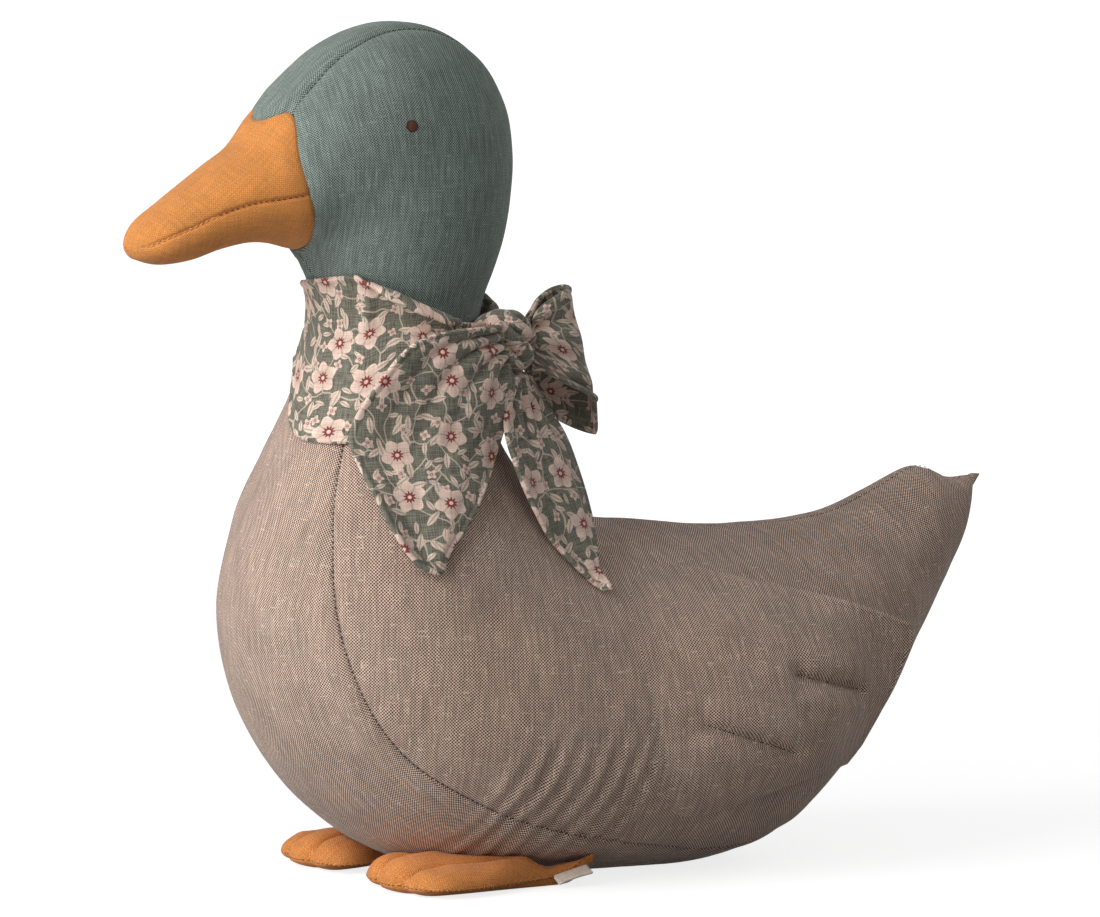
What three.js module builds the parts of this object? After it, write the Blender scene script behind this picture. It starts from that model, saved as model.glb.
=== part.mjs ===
// A stuffed linen duck with a tied scarf, sitting on its belly with its feet in front.
// Millimetres, +Z up. The duck faces -Y, its left side is +X, and it stands on z = 0.
import * as THREE from 'three';

// Driving sizes of the body and neck
const bodyLength = 400;
const bodyWidth = 204;
const neckSeamHeight = 262;
const neckDiameter = 80;
const neckSeamRise = 4;

// Driving sizes of the head, beak and eyes
const headLength = 130.5;
const headHeight = 142.5;
const headWidth = 101;
const headGussetWidth = 42;
const beakLength = 75;
const eyeDiameter = 6;
const eyeThickness = 1.4;

// Driving sizes of the wings
const wingLength = 178;
const wingHeight = 126;
const wingThickness = 11;
const wingTipReach = 78;

// Driving sizes of the feet
const footLength = 92;
const footWidth = 72;
const footHeelWidth = 25;
const footThickness = 16;
const footSeamHeight = 4;
const toeNotchDepth = 5;
const toeGrooveDepth = 2.2;

// Driving sizes of the scarf and its bow
const ribbonWidth = 75;
const scarfThickness = 1.5;
const knotWidth = 24;
const knotHeight = 27;
const knotThickness = 20;
const knotStandOff = 6;
const loopLength = 45;
const loopOpeningWidth = 26;
const frontTailDrop = 102;
const rearTailDrop = 101;
const pleatDepth = 1.2;

// Driving sizes of the label tape sewn into the left heel
const labelLength = 17;
const labelReach = 8;
const labelTapeThickness = 0.6;

// Cloth and clearances
const clothThickness = 1.2;
const seamGap = 0.3;
const seatGap = 0.4;
const wingClearance = 1.1;
const scarfClearance = 0.92;
const tailClearance = 3;

const { degToRad, clamp, lerp, smoothstep } = THREE.MathUtils;
const full = Math.PI * 2;
const vector = (x, y, z) => new THREE.Vector3(x, y, z);
const xAxis = vector(1, 0, 0);

// Colours and finishes
const cloth = (color, roughness = 0.95) =>
  new THREE.MeshStandardMaterial({ color, roughness, metalness: 0 });
const bodyLinen = cloth(0x8d7f74);
const headLinen = cloth(0x4f6f6b);
const beakLinen = cloth(0xc4832f);
const footLinen = cloth(0xbf7a2c);
const scarfCotton = cloth(0x8f8c78);
const filling = cloth(0xf0ece4, 1);
const labelTape = cloth(0xe6d9c6);
const eyeThread = cloth(0x3a241a, 0.6);

const duck = new THREE.Group();
const add = (name, geometry, material) => {
  const mesh = new THREE.Mesh(geometry, material.clone());
  mesh.name = name;
  duck.add(mesh);
  return mesh;
};

// A smooth curve through evenly spaced knots, read at t from 0 to 1.
const spline = (knots, t) => {
  const last = knots.length - 1;
  const at = clamp(t, 0, 1) * last;
  const i = Math.min(Math.floor(at), last - 1);
  const f = at - i;
  const b = knots[i];
  const c = knots[i + 1];
  const a = knots[i - 1] ?? 2 * b - c;
  const d = knots[i + 2] ?? 2 * c - b;
  return b + 0.5 * f * (c - a + f * (2 * a - 5 * b + 4 * c - d + f * (3 * (b - c) + d - a)));
};
const column = (rows, k) => rows.map((row) => row[k]);

// A closed solid from its points and triangles, with its faces turned outward.
const solid = (points, index) => {
  let volume = 0;
  for (let i = 0; i < index.length; i += 3) {
    const [a, b, c] = [points[index[i]], points[index[i + 1]], points[index[i + 2]]];
    volume += a.dot(b.clone().cross(c));
  }
  const turned = volume < 0 ? index.slice().reverse() : index;
  const geometry = new THREE.BufferGeometry().setFromPoints(points);
  geometry.setIndex(turned);
  geometry.computeVertexNormals();
  return geometry;
};

// The solid between two faces, each given over the same square of u and v.
const slab = (outer, inner, uCount, vCount) => {
  const points = [];
  const index = [];
  for (const face of [outer, inner]) {
    for (let i = 0; i <= uCount; i += 1) {
      for (let j = 0; j <= vCount; j += 1) {
        points.push(face(i / uCount, j / vCount));
      }
    }
  }
  const layer = (uCount + 1) * (vCount + 1);
  const at = (i, j, side) => side * layer + i * (vCount + 1) + j;
  const quad = (a, b, c, d) => index.push(a, b, c, a, c, d);
  for (let i = 0; i < uCount; i += 1) {
    for (let j = 0; j < vCount; j += 1) {
      quad(at(i, j, 0), at(i + 1, j, 0), at(i + 1, j + 1, 0), at(i, j + 1, 0));
      quad(at(i, j, 1), at(i, j + 1, 1), at(i + 1, j + 1, 1), at(i + 1, j, 1));
    }
    quad(at(i, 0, 1), at(i + 1, 0, 1), at(i + 1, 0, 0), at(i, 0, 0));
    quad(at(i, vCount, 0), at(i + 1, vCount, 0), at(i + 1, vCount, 1), at(i, vCount, 1));
  }
  for (let j = 0; j < vCount; j += 1) {
    quad(at(0, j, 0), at(0, j + 1, 0), at(0, j + 1, 1), at(0, j, 1));
    quad(at(uCount, j, 1), at(uCount, j + 1, 1), at(uCount, j + 1, 0), at(uCount, j, 0));
  }
  return solid(points, index);
};

// The solid inside a tube of rings, closed by a fan at each end.
const plug = (ring, uCount, vCount) => {
  const points = [];
  const index = [];
  for (let i = 0; i <= uCount; i += 1) {
    for (let j = 0; j < vCount; j += 1) {
      points.push(ring(i / uCount, j / vCount));
    }
  }
  const at = (i, j) => i * vCount + (j % vCount);
  for (let i = 0; i < uCount; i += 1) {
    for (let j = 0; j < vCount; j += 1) {
      index.push(at(i, j), at(i + 1, j), at(i + 1, j + 1));
      index.push(at(i, j), at(i + 1, j + 1), at(i, j + 1));
    }
  }
  for (const i of [0, uCount]) {
    const centre = vector(0, 0, 0);
    for (let j = 0; j < vCount; j += 1) {
      centre.add(points[at(i, j)]);
    }
    points.push(centre.divideScalar(vCount));
    for (let j = 0; j < vCount; j += 1) {
      const edge = i === 0 ? [at(i, j), at(i, j + 1)] : [at(i, j + 1), at(i, j)];
      index.push(points.length - 1, ...edge);
    }
  }
  return solid(points, index);
};

// A stuffed form is lofted from its top line to its bottom line, seen from the side. Each
// station holds the top point, the bottom point and the half width of the oval between them.
const loft = (stations, lowFullness) => {
  const [topY, topZ, bottomY, bottomZ, half] = [0, 1, 2, 3, 4].map((k) => column(stations, k));
  const halfWidth = (s) => spline(half, s);
  const point = (s, angle) => {
    const top = vector(0, spline(topY, s), spline(topZ, s));
    const bottom = vector(0, spline(bottomY, s), spline(bottomZ, s));
    const reach = Math.cos(angle);
    const across = halfWidth(s) * Math.sin(angle) * (1 - lowFullness * reach);
    return bottom.lerp(top, (1 + reach) / 2).addScaledVector(xAxis, across);
  };
  const step = 1e-4;
  const slope = (s, angle, ds, da) =>
    point(s + ds, angle + da).sub(point(s - ds, angle - da)).divideScalar(2 * (ds + da));
  const normal = (s, angle) => {
    const inside = clamp(s, step, 1 - step);
    return slope(inside, angle, step, 0).cross(slope(inside, angle, 0, step)).normalize();
  };
  // Sunk below the cloth's outer face by depth, and never lower than the floor allows.
  const skin = (s, angle, depth) => {
    const place = point(s, angle).addScaledVector(normal(s, angle), -depth);
    place.z = Math.max(place.z, depth);
    return place;
  };
  const gapAngle = (s, angle) => seamGap / 2 / slope(s, angle, 0, step).length();
  const gapStation = (s) => seamGap / slope(s, 0, step, 0).length();
  return { point, normal, skin, halfWidth, gapAngle, gapStation };
};

// One cloth panel of a stuffed form, between two seams that run along it. All the panels of a
// form, and the stuffing inside them, share its rows, so that their facets lie side by side.
const panel = (form, rows, firstRow, seamA, seamB, columns) => {
  const face = (depth) => (u, v) => {
    const s = rows.place(lerp(firstRow, rows.count, u));
    const [a, b] = [seamA(s), seamB(s)];
    return form.skin(s, lerp(a + form.gapAngle(s, a), b - form.gapAngle(s, b), v), depth);
  };
  return slab(face(0), face(clothThickness), rows.count - firstRow, columns);
};
const evenRows = (count, start, end) => ({ count, place: (row) => lerp(start, end, row / count) });

// The stuffing fills a form's panels, between the seams that start each run of columns.
const stuffing = (form, rows, [firstRow, lastRow], runs) => {
  const total = runs.reduce((sum, [, columns]) => sum + columns, 0);
  const angleAt = (s, v) => {
    let left = Math.round(v * total);
    let run = 0;
    while (left >= runs[run][1]) {
      left -= runs[run][1];
      run += 1;
    }
    const from = runs[run][0](s);
    const to = run + 1 < runs.length ? runs[run + 1][0](s) : runs[0][0](s) + full;
    return lerp(from, to, left / runs[run][1]);
  };
  const ring = (u, v) => {
    const s = rows.place(lerp(firstRow, lastRow, u));
    return form.skin(s, angleAt(s, v), clothThickness + seamGap);
  };
  return plug(ring, lastRow - firstRow, total);
};

// The body: stations from the tail tip, under the scarf, to the neck seam. Shares of the body's
// length from the tail tip for y, of the neck seam's height for z, and of the width.
const bodyStationShares = [
  [0.0025, 0.672, 0.005, 0.645, 0.016],
  [0.035, 0.67, 0.024, 0.557, 0.074],
  [0.08, 0.696, 0.058, 0.475, 0.123],
  [0.14, 0.655, 0.11, 0.357, 0.181],
  [0.2, 0.62, 0.165, 0.235, 0.258],
  [0.27, 0.605, 0.238, 0.125, 0.348],
  [0.3575, 0.605, 0.32, 0.033, 0.426],
  [0.45, 0.618, 0.42, -0.008, 0.473],
  [0.525, 0.632, 0.52, -0.01, 0.495],
  [0.59, 0.668, 0.6575, -0.004, 0.5],
  [0.635, 0.725, 0.7825, 0.0305, 0.485],
  [0.6575, 0.775, 0.885, 0.126, 0.456],
  [0.675, 0.828, 0.958, 0.275, 0.417],
  [0.685, 0.874, 0.989, 0.45, 0.363],
  [0.69125, 0.916, 0.976, 0.611, 0.304],
  [0.69375, 0.95, 0.941, 0.748, 0.25],
  [0.69125, 0.981, 0.9075, 0.87, 0.2157],
];
const neckAxisShare = 0.785;
const bodyLowFullness = 0.12;
const neckY = -bodyLength * neckAxisShare;
const neckRadius = neckDiameter / 2;
const neckStation = [
  neckY + neckRadius, neckSeamHeight + neckSeamRise,
  neckY - neckRadius, neckSeamHeight - neckSeamRise, neckRadius,
];
const bodyStations = bodyStationShares.map(([ty, tz, by, bz, w]) => [
  -ty * bodyLength, tz * neckSeamHeight, -by * bodyLength, bz * neckSeamHeight, w * bodyWidth,
]);
const body = loft([...bodyStations, neckStation], bodyLowFullness);

// Half the angle that the breast and belly gusset takes round the underside of each station.
const gussetStart = 0.2;
const gussetHalfDegrees = [0, 14, 24, 31, 38, 46, 50, 48, 49, 50, 47, 43, 38];
const gussetHalf = (s) => {
  const t = (s - gussetStart) / (1 - gussetStart);
  return t < 0 ? 0 : degToRad(Math.max(spline(gussetHalfDegrees, t), 0));
};
const bodyEnd = 1 - body.gapStation(1);
const bodyRows = evenRows(26, 0, bodyEnd);
const gussetFirstRow = 6;
const fillingFirstRow = 2;
const [sideColumns, gussetColumns] = [8, 6];
const sideSeam = (s) => Math.PI - gussetHalf(s);
for (const [name, side] of [['body_side_left', 1], ['body_side_right', -1]]) {
  const seams = [() => 0, sideSeam];
  const [from, to] = side > 0 ? seams : [(s) => full - seams[1](s), () => full];
  add(name, panel(body, bodyRows, 0, from, to, sideColumns), bodyLinen);
}
const farSeam = (s) => full - sideSeam(s);
const gussetPanel = panel(body, bodyRows, gussetFirstRow, sideSeam, farSeam, gussetColumns);
add('breast_belly_gusset', gussetPanel, bodyLinen);
const bodyRuns = [[() => 0, sideColumns], [sideSeam, gussetColumns], [farSeam, sideColumns]];
const bodyFilling = stuffing(body, bodyRows, [fillingFirstRow, bodyRows.count], bodyRuns);
add('body_filling', bodyFilling, filling);

// The head: stations from the neck seam, over the crown, to the beak seam. Shares of the head's
// length forward of the neck's axis, of its height above the neck seam, and of its width.
const headStationShares = [
  [-0.3295, 0.1045, 0.3027, 0.0697, 0.401],
  [-0.3678, 0.195, 0.3142, 0.1463, 0.4257],
  [-0.4061, 0.3066, 0.3372, 0.1951, 0.4554],
  [-0.4295, 0.439, 0.3525, 0.223, 0.48],
  [-0.436, 0.583, 0.364, 0.2334, 0.495],
  [-0.406, 0.736, 0.3716, 0.2404, 0.5],
  [-0.302, 0.892, 0.377, 0.2439, 0.5],
  [-0.127, 0.985, 0.3816, 0.2474, 0.49],
  [0.069, 1, 0.3847, 0.2509, 0.47],
  [0.262, 0.937, 0.3877, 0.2537, 0.4406],
  [0.418, 0.827, 0.39, 0.2564, 0.406],
  [0.553, 0.695, 0.3923, 0.2599, 0.371],
];
const headStations = headStationShares.map(([ty, tz, by, bz, w]) => [
  neckY - ty * headLength, neckSeamHeight + tz * headHeight,
  neckY - by * headLength, neckSeamHeight + bz * headHeight, w * headWidth,
]);
const head = loft([neckStation, ...headStations], 0);
const headStart = head.gapStation(0);
const headEnd = 1 - head.gapStation(1) / 2;
const headGussetNeckShare = 0.2;
const headSeam = (s) => {
  const half = (headGussetWidth / 2) * lerp(headGussetNeckShare, 1, smoothstep(s, 0.35, 1));
  return Math.asin(clamp(half / head.halfWidth(s), 0, 1));
};
const chinSeam = () => Math.PI;
const farHeadSeam = (s) => full - headSeam(s);
const headRows = evenRows(14, headStart, headEnd);
const [cheekColumns, crownColumns] = [7, 4];
const leftHead = panel(head, headRows, 0, headSeam, chinSeam, cheekColumns);
add('head_side_left', leftHead, headLinen);
const rightHead = panel(head, headRows, 0, chinSeam, farHeadSeam, cheekColumns);
add('head_side_right', rightHead, headLinen);
const headGusset = panel(head, headRows, 0, (s) => -headSeam(s), headSeam, crownColumns);
add('head_gusset', headGusset, headLinen);
const headRuns = [[headSeam, cheekColumns], [chinSeam, cheekColumns], [farHeadSeam, crownColumns]];
add('head_filling', stuffing(head, headRows, [0, headRows.count], headRuns), filling);

// The beak: stations from its seam to its tip. Shares of the beak's length from the middle of
// the seam for y and z, and of the seam's half width.
const beakStationShares = [
  [0.262, 0.24, 0.031, -0.369, 0.907],
  [0.425, 0.143, 0.213, -0.356, 0.8],
  [0.597, 0.036, 0.42, -0.389, 0.707],
  [0.756, -0.072, 0.615, -0.4475, 0.613],
  [0.901, -0.175, 0.81, -0.467, 0.493],
  [0.992, -0.291, 0.953, -0.428, 0.28],
  [1.018, -0.343, 1.009, -0.385, 0.09],
];
const beakSeam = headStations.at(-1);
const [seamTopY, seamTopZ, seamBottomY, seamBottomZ, seamHalf] = beakSeam;
const [beakY, beakZ] = [(seamTopY + seamBottomY) / 2, (seamTopZ + seamBottomZ) / 2];
const beakStations = beakStationShares.map(([ty, tz, by, bz, w]) => [
  beakY - ty * beakLength, beakZ + tz * beakLength,
  beakY - by * beakLength, beakZ + bz * beakLength, w * seamHalf,
]);
const beak = loft([beakSeam, ...beakStations], 0);
const beakStart = 2 * beak.gapStation(0);
const mouthDegrees = [95, 90, 84, 80, 80, 84, 88];
const mouth = (s) => degToRad(spline(mouthDegrees, s));
const beakRows = evenRows(10, beakStart, 1);
const [upperColumns, lowerColumns] = [8, 6];
const farMouth = (s) => full - mouth(s);
const beakUpper = panel(beak, beakRows, 0, (s) => -mouth(s), mouth, upperColumns);
add('beak_upper', beakUpper, beakLinen);
const beakLower = panel(beak, beakRows, 0, mouth, farMouth, lowerColumns);
add('beak_lower', beakLower, beakLinen);
const beakRuns = [[mouth, lowerColumns], [farMouth, upperColumns]];
add('beak_filling', stuffing(beak, beakRows, [0, beakRows.count - 1], beakRuns), filling);

// Rays find where the stuffed forms' outer faces lie, so that what rests on them can follow.
const hide = new THREE.MeshBasicMaterial({ side: THREE.DoubleSide });
const outerMesh = (form, uCount, vCount) =>
  new THREE.Mesh(plug((u, v) => form.skin(u, v * full, 0), uCount, vCount), hide);
const bodyForm = outerMesh(body, 90, 60);
const headForm = outerMesh(head, 50, 48);
const outermost = (forms, from, direction) => {
  const hits = new THREE.Raycaster(from, direction).intersectObjects(forms);
  return hits.length ? hits.at(-1).distance : 0;
};

// The eyes: flat knots of thread on the sides of the head.
const eyeForwardShare = 0.107;
const eyeHeightShare = 0.676;
const eyeSides = 10;
for (const [sideName, side] of [['left', 1], ['right', -1]]) {
  const level = vector(
    0, neckY - eyeForwardShare * headLength, neckSeamHeight + eyeHeightShare * headHeight,
  );
  const cheek = new THREE.Mesh(duck.getObjectByName(`head_side_${sideName}`).geometry, hide);
  const ray = new THREE.Raycaster(level, vector(side, 0, 0)).intersectObject(cheek).at(-1);
  const outward = ray.face.normal.clone();
  const profile = [
    [0, 0], [0.85, 0], [1, 0.4], [0.7, 0.85], [0, 1],
  ].map(([r, h]) => new THREE.Vector2((r * eyeDiameter) / 2, h * eyeThickness));
  const eye = add(`eye_${sideName}`, new THREE.LatheGeometry(profile, eyeSides), eyeThread);
  eye.quaternion.setFromUnitVectors(vector(0, 1, 0), outward);
  eye.position.copy(ray.point).addScaledVector(outward, seamGap);
}

// The wings: quilted flaps sewn to the body along their front edges. The outline's shares are
// of the wing's length behind its front edge and of its height.
const wingTopShares = [[0, 1], [0.315, 0.984], [0.567, 0.905], [0.787, 0.825], [1, 0.714]];
const wingBottomShares = [[0.124, 0], [0.298, 0.06], [0.528, 0.15], [0.674, 0.19], [0.792, 0.214]];
const wingFrontShare = 0.625;
const wingBaseShare = 0.09;
const wingFrontY = -bodyLength * wingFrontShare;
const wingBaseZ = neckSeamHeight * wingBaseShare;
const wingRim = 2 * clothThickness + seamGap;
const wingOutline = (shares, u) => [
  wingFrontY + wingLength * spline(column(shares, 0), u),
  wingBaseZ + wingHeight * spline(column(shares, 1), u),
];
const wingSide = (u, v) => {
  const [topY, topZ] = wingOutline(wingTopShares, u);
  const [lowY, lowZ] = wingOutline(wingBottomShares, u);
  return vector(0, lerp(topY, lowY, v), lerp(topZ, lowZ, v));
};
const wingSeat = (u, v) => {
  const place = wingSide(u, v);
  const bodyReach = outermost([bodyForm], place, xAxis) + wingClearance;
  const freeReach = lerp(0, wingTipReach, smoothstep(u, 0, 0.8));
  place.x = Math.max(bodyReach, freeReach);
  return place;
};
const wingSwell = (u, v) => {
  const length = Math.sqrt(1 - (1 - Math.min(u / 0.45, 1)) ** 2) * smoothstep(1 - u, 0, 0.4);
  const height = Math.max(1 - Math.abs(2 * v - 1) ** 3, 0) ** 0.6;
  return wingRim + (wingThickness - wingRim) * length * height;
};
const wingSeats = new Map();
const seatAt = (u, v) => {
  const key = `${u.toFixed(6)} ${v.toFixed(6)}`;
  if (!wingSeats.has(key)) {
    wingSeats.set(key, wingSeat(u, v));
  }
  return wingSeats.get(key).clone();
};
const [wingRows, wingColumns] = [12, 8];
const within = (count, margin, t) => lerp(margin / count, 1 - margin / count, t);
const wingFace = (side, depthInside, fromOutside, margin) => (u, v) => {
  const [p, q] = [within(wingRows, margin, u), within(wingColumns, margin, v)];
  const place = seatAt(p, q);
  place.x += fromOutside ? wingSwell(p, q) - depthInside : depthInside;
  place.x *= side;
  return place;
};
const wingLayers = [
  ['outer', bodyLinen, [0, true], [clothThickness, true], 0],
  ['lining', bodyLinen, [0, false], [clothThickness, false], 0],
  ['wadding', filling, [clothThickness + seamGap, true], [clothThickness + seamGap, false], 1],
];
for (const [sideName, side] of [['left', 1], ['right', -1]]) {
  for (const [layer, material, outerFace, innerFace, margin] of wingLayers) {
    const faces = [outerFace, innerFace].map((face) => wingFace(side, ...face, margin));
    const form = slab(...faces, wingRows - 2 * margin, wingColumns - 2 * margin);
    add(`wing_${sideName}_${layer}`, form, material);
  }
}
const leftWingOuter = duck.getObjectByName('wing_left_outer').geometry;

// The feet: flat webbed feet whose heels are sewn to the underside of the body.
const heelShare = 0.605;
const heelY = -bodyLength * heelShare;
const footCentreShare = 0.608;
const footCentre = (footCentreShare * bodyWidth) / 2;
const toeCentreShare = 0.45;
const toeCentre = (toeCentreShare * bodyWidth) / 2;
const sideToeShare = 0.1;
const notchPlaceShare = 0.36;
const notchWidthShare = 0.13;
const grooveWidthShare = 0.09;
const heelRiseShare = 0.1;
const nearNotch = (v, widthShare) =>
  Math.exp(-(((Math.abs(v) - notchPlaceShare) / widthShare) ** 2));
const footPlan = (u, v) => {
  const reach = footLength * (1 - sideToeShare * v * v) - toeNotchDepth * nearNotch(v, notchWidthShare);
  const flare = smoothstep(u, 0.3, 1);
  const half = lerp(footHeelWidth, footWidth, flare) / 2;
  const centre = lerp(footCentre, toeCentre, flare);
  const toeDraw = 1 - 0.12 * u ** 6;
  return vector(centre + half * v * toeDraw, heelY - reach * u, 0);
};
const footEdge = (u, v) => {
  const across = Math.max(1 - Math.abs(v) ** 4, 0) ** 0.5;
  const along = Math.max(1 - u ** 12, 0) ** 0.5 * Math.max(1 - (1 - u) ** 12, 0) ** 0.5;
  return across * along;
};
const undersideOf = (x, y) => {
  const below = vector(x, y, -neckSeamHeight);
  const hits = new THREE.Raycaster(below, vector(0, 0, 1)).intersectObject(bodyForm);
  return hits.length ? hits[0].point.z : Infinity;
};
const footTopHeight = (u, v) => {
  const groove = toeGrooveDepth * nearNotch(v, grooveWidthShare) * smoothstep(u, 0.25, 0.6);
  const seamTop = footSeamHeight + clothThickness;
  const crown = (footThickness - seamTop - groove) * footEdge(u, v);
  const own = seamTop + crown;
  const plan = footPlan(u, v);
  const belly = undersideOf(plan.x, plan.y) - seatGap;
  if (!Number.isFinite(belly)) {
    return own;
  }
  const rise = Math.exp(-((u / heelRiseShare) ** 2));
  return Math.min(lerp(own, Math.max(belly, own), rise), belly);
};
const [footRows, footColumns] = [9, 12];
const footFace = (side, height, margin) => (u, v) => {
  const [p, q] = [within(footRows, margin, u), 2 * within(footColumns, margin, v) - 1];
  const place = footPlan(p, q);
  place.z = height(p, q);
  place.x *= side;
  return place;
};
const soleHeight = (u, v) => {
  const edgeHeight = footSeamHeight - seatGap - clothThickness;
  return Math.max(edgeHeight * (1 - 1.5 * footEdge(u, v)), 0);
};
const footLayers = [
  ['top', footLinen, footTopHeight, (u, v) => footTopHeight(u, v) - clothThickness, 0],
  ['sole', footLinen, (u, v) => soleHeight(u, v) + clothThickness, soleHeight, 0],
  [
    'filling', filling,
    (u, v) => footTopHeight(u, v) - clothThickness - seamGap,
    (u, v) => soleHeight(u, v) + clothThickness + seamGap, 1,
  ],
];
for (const [sideName, side] of [['left', 1], ['right', -1]]) {
  for (const [layer, material, upper, lower, margin] of footLayers) {
    const faces = [upper, lower].map((height) => footFace(side, height, margin));
    const form = slab(...faces, footRows - 2 * margin, footColumns - 2 * margin);
    add(`foot_${sideName}_${layer}`, form, material);
  }
}

// The scarf: places round the neck are an angle from +X towards +Y, a radius and a height.
const roundNeck = (angle, radius, z) =>
  vector(radius * Math.cos(angle), neckY + radius * Math.sin(angle), z);
const neckReach = (angle, z) => {
  const direction = vector(Math.cos(angle), Math.sin(angle), 0);
  return outermost([bodyForm, headForm], vector(0, neckY, z), direction);
};

// The neck band runs from one side of the knot round to the other. Heights are shares of the
// ribbon's width above the neck seam, and stand-offs are shares of the knot's.
const knotAngle = degToRad(45);
const bandEndGap = degToRad(6);
const bandStart = knotAngle - bandEndGap / 2;
const bandEnd = bandStart - full + bandEndGap;
const bandTopShares = [
  0.053, 0.06, 0.213, 0.373, 0.347, 0.313, 0.287, 0.267, 0.253, 0.24, 0.24, 0.227, 0.2, 0.133, 0.067,
];
const bandBottomShares = [
  -0.213, -0.32, -0.507, -0.64, -0.693, -0.587, -0.32, -0.28, -0.293, -0.307, -0.32, -0.32, -0.307,
  -0.28, -0.213,
];
const bandStandOffShares = [1, 1.05, 0.75, 0.3, 0.12, 0.05, 0.05, 0.05, 0.05, 0.05, 0.05, 0.1, 0.3, 0.7, 1];
const bandRipples = 9;
const bandFace = (depth) => (u, v) => {
  const angle = lerp(bandStart, bandEnd, u);
  const top = neckSeamHeight + spline(bandTopShares, u) * ribbonWidth;
  const bottom = neckSeamHeight + spline(bandBottomShares, u) * ribbonWidth;
  const z = lerp(bottom, top, v);
  const ripple = pleatDepth * (1 + Math.cos(bandRipples * full * u)) / 2;
  const standOff = Math.max(spline(bandStandOffShares, u), 0) * knotStandOff;
  return roundNeck(angle, neckReach(angle, z) + scarfClearance + standOff + ripple + depth, z);
};
const neckBand = slab(bandFace(scarfThickness), bandFace(0), 32, 5);
add('scarf_neck_band', neckBand, scarfCotton);

// The knot: a rounded lump with slanting pleats, outside the two ends of the band.
const knotCentreZ = neckSeamHeight - knotStandOff;
const pleatShare = 0.06;
const knotRadius = neckReach(knotAngle, knotCentreZ) + scarfClearance + knotStandOff + pleatDepth
  + scarfThickness + seatGap + (knotThickness / 2) * (1 + pleatShare);
const knotOut = vector(Math.cos(knotAngle), Math.sin(knotAngle), 0);
const knotAlong = vector(-Math.sin(knotAngle), Math.cos(knotAngle), 0);
const knotCentre = roundNeck(knotAngle, knotRadius, knotCentreZ);
const knotPleats = 7;
const knotRing = (u, v) => {
  const tip = lerp(degToRad(8), degToRad(172), u);
  const turn = v * full;
  const pleat = 1 + pleatShare * Math.cos(knotPleats * turn + 3 * u) * Math.sin(tip);
  return knotCentre.clone()
    .addScaledVector(knotOut, (knotThickness / 2) * Math.sin(tip) * Math.cos(turn) * pleat)
    .addScaledVector(knotAlong, (knotWidth / 2) * Math.sin(tip) * Math.sin(turn) * pleat)
    .addScaledVector(vector(0, 0, 1), (knotHeight / 2) * Math.cos(tip));
};
const knot = add('bow_knot', plug(knotRing, 9, 28), scarfCotton);

// The loop: the ribbon goes out from the knot, folds back on itself and returns to it. It fans
// from its gathers at the knot to the ribbon's full width at the fold.
const loopHeading = degToRad(105);
const loopOut = vector(Math.cos(loopHeading), Math.sin(loopHeading), 0);
const loopAcross = vector(-Math.sin(loopHeading), Math.cos(loopHeading), 0);
const gatherShare = 0.26;
const loopTilt = degToRad(15);
const knotForm = new THREE.Mesh(knot.geometry, hide);
const loopStartRadius = outermost([knotForm], knotCentre, loopOut) + 2 * seatGap + scarfThickness / 2;
const loopPlan = (u) => {
  const turn = lerp(-Math.PI, Math.PI, u);
  const out = (1 + Math.cos(turn)) / 2;
  const aside = (loopOpeningWidth / 2) * Math.sin(turn) * out ** 0.35;
  const root = scarfThickness * Math.sign(u - 0.5) * (1 - out);
  return [lerp(loopStartRadius, loopLength, out), -aside - root, out];
};
const loopFace = (depth) => (u, v) => {
  const [out, aside, share] = loopPlan(u);
  const [outNext, asideNext] = loopPlan(Math.min(u + 1e-3, 1));
  const [outLast, asideLast] = loopPlan(Math.max(u - 1e-3, 0));
  const along = new THREE.Vector2(outNext - outLast, asideNext - asideLast).normalize();
  const half = (ribbonWidth / 2) * lerp(gatherShare, 1, share ** 0.8);
  const up = half * (2 * v - 1);
  const level = out + along.y * depth;
  return knotCentre.clone()
    .addScaledVector(loopOut, level * Math.cos(loopTilt) - up * Math.sin(loopTilt) * share)
    .addScaledVector(loopAcross, aside - along.x * depth)
    .addScaledVector(vector(0, 0, 1), up * Math.cos(loopTilt) - level * Math.sin(loopTilt));
};
const loopFaces = [loopFace(scarfThickness / 2), loopFace(-scarfThickness / 2)];
add('bow_loop', slab(...loopFaces, 22, 4), scarfCotton);

// The tails: each edge is a line of places from the knot to the tip, in degrees round the neck
// and shares of the tail's drop, both from the place on the knot where the tail comes out. The
// cloth lies outside the body and what it wears.
const dressing = [neckBand, leftWingOuter].map((geometry) => new THREE.Mesh(geometry, hide));
const dressedReach = (angle, z) => {
  const direction = vector(Math.cos(angle), Math.sin(angle), 0);
  const heights = [z - 2 * tailClearance, z, z + 2 * tailClearance];
  return Math.max(...heights.map((level) => outermost(dressing, vector(0, neckY, level), direction)));
};
const ribbonTail = (exit, drop, edges, freeRadii, uCount, vCount) => {
  const [startEdge, endEdge] = edges;
  const middle = (u, v) => {
    const place = (edge) => [0, 1].map((k) => spline(column(edge, k), u));
    const [[a0, d0], [a1, d1]] = [place(startEdge), place(endEdge)];
    const angle = exit.angle + degToRad(lerp(a0, a1, v));
    const z = exit.z - lerp(d0, d1, v) * drop;
    const free = spline(freeRadii, u) * knotRadius;
    const wave = pleatDepth * Math.cos(5 * Math.PI * v) * Math.sin(Math.PI * u);
    const bare = neckReach(angle, z) + tailClearance;
    const dressed = dressedReach(angle, z) + tailClearance;
    return [angle, Math.max(free, bare, dressed) + pleatDepth + wave, z];
  };
  const face = (depth) => (u, v) => {
    const [angle, radius, z] = middle(u, v);
    return roundNeck(angle, radius + depth, z);
  };
  return slab(face(scarfThickness), face(0), uCount, vCount);
};
const knotHalfAngle = Math.atan2(knotWidth / 2 + seatGap, knotRadius);
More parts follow.
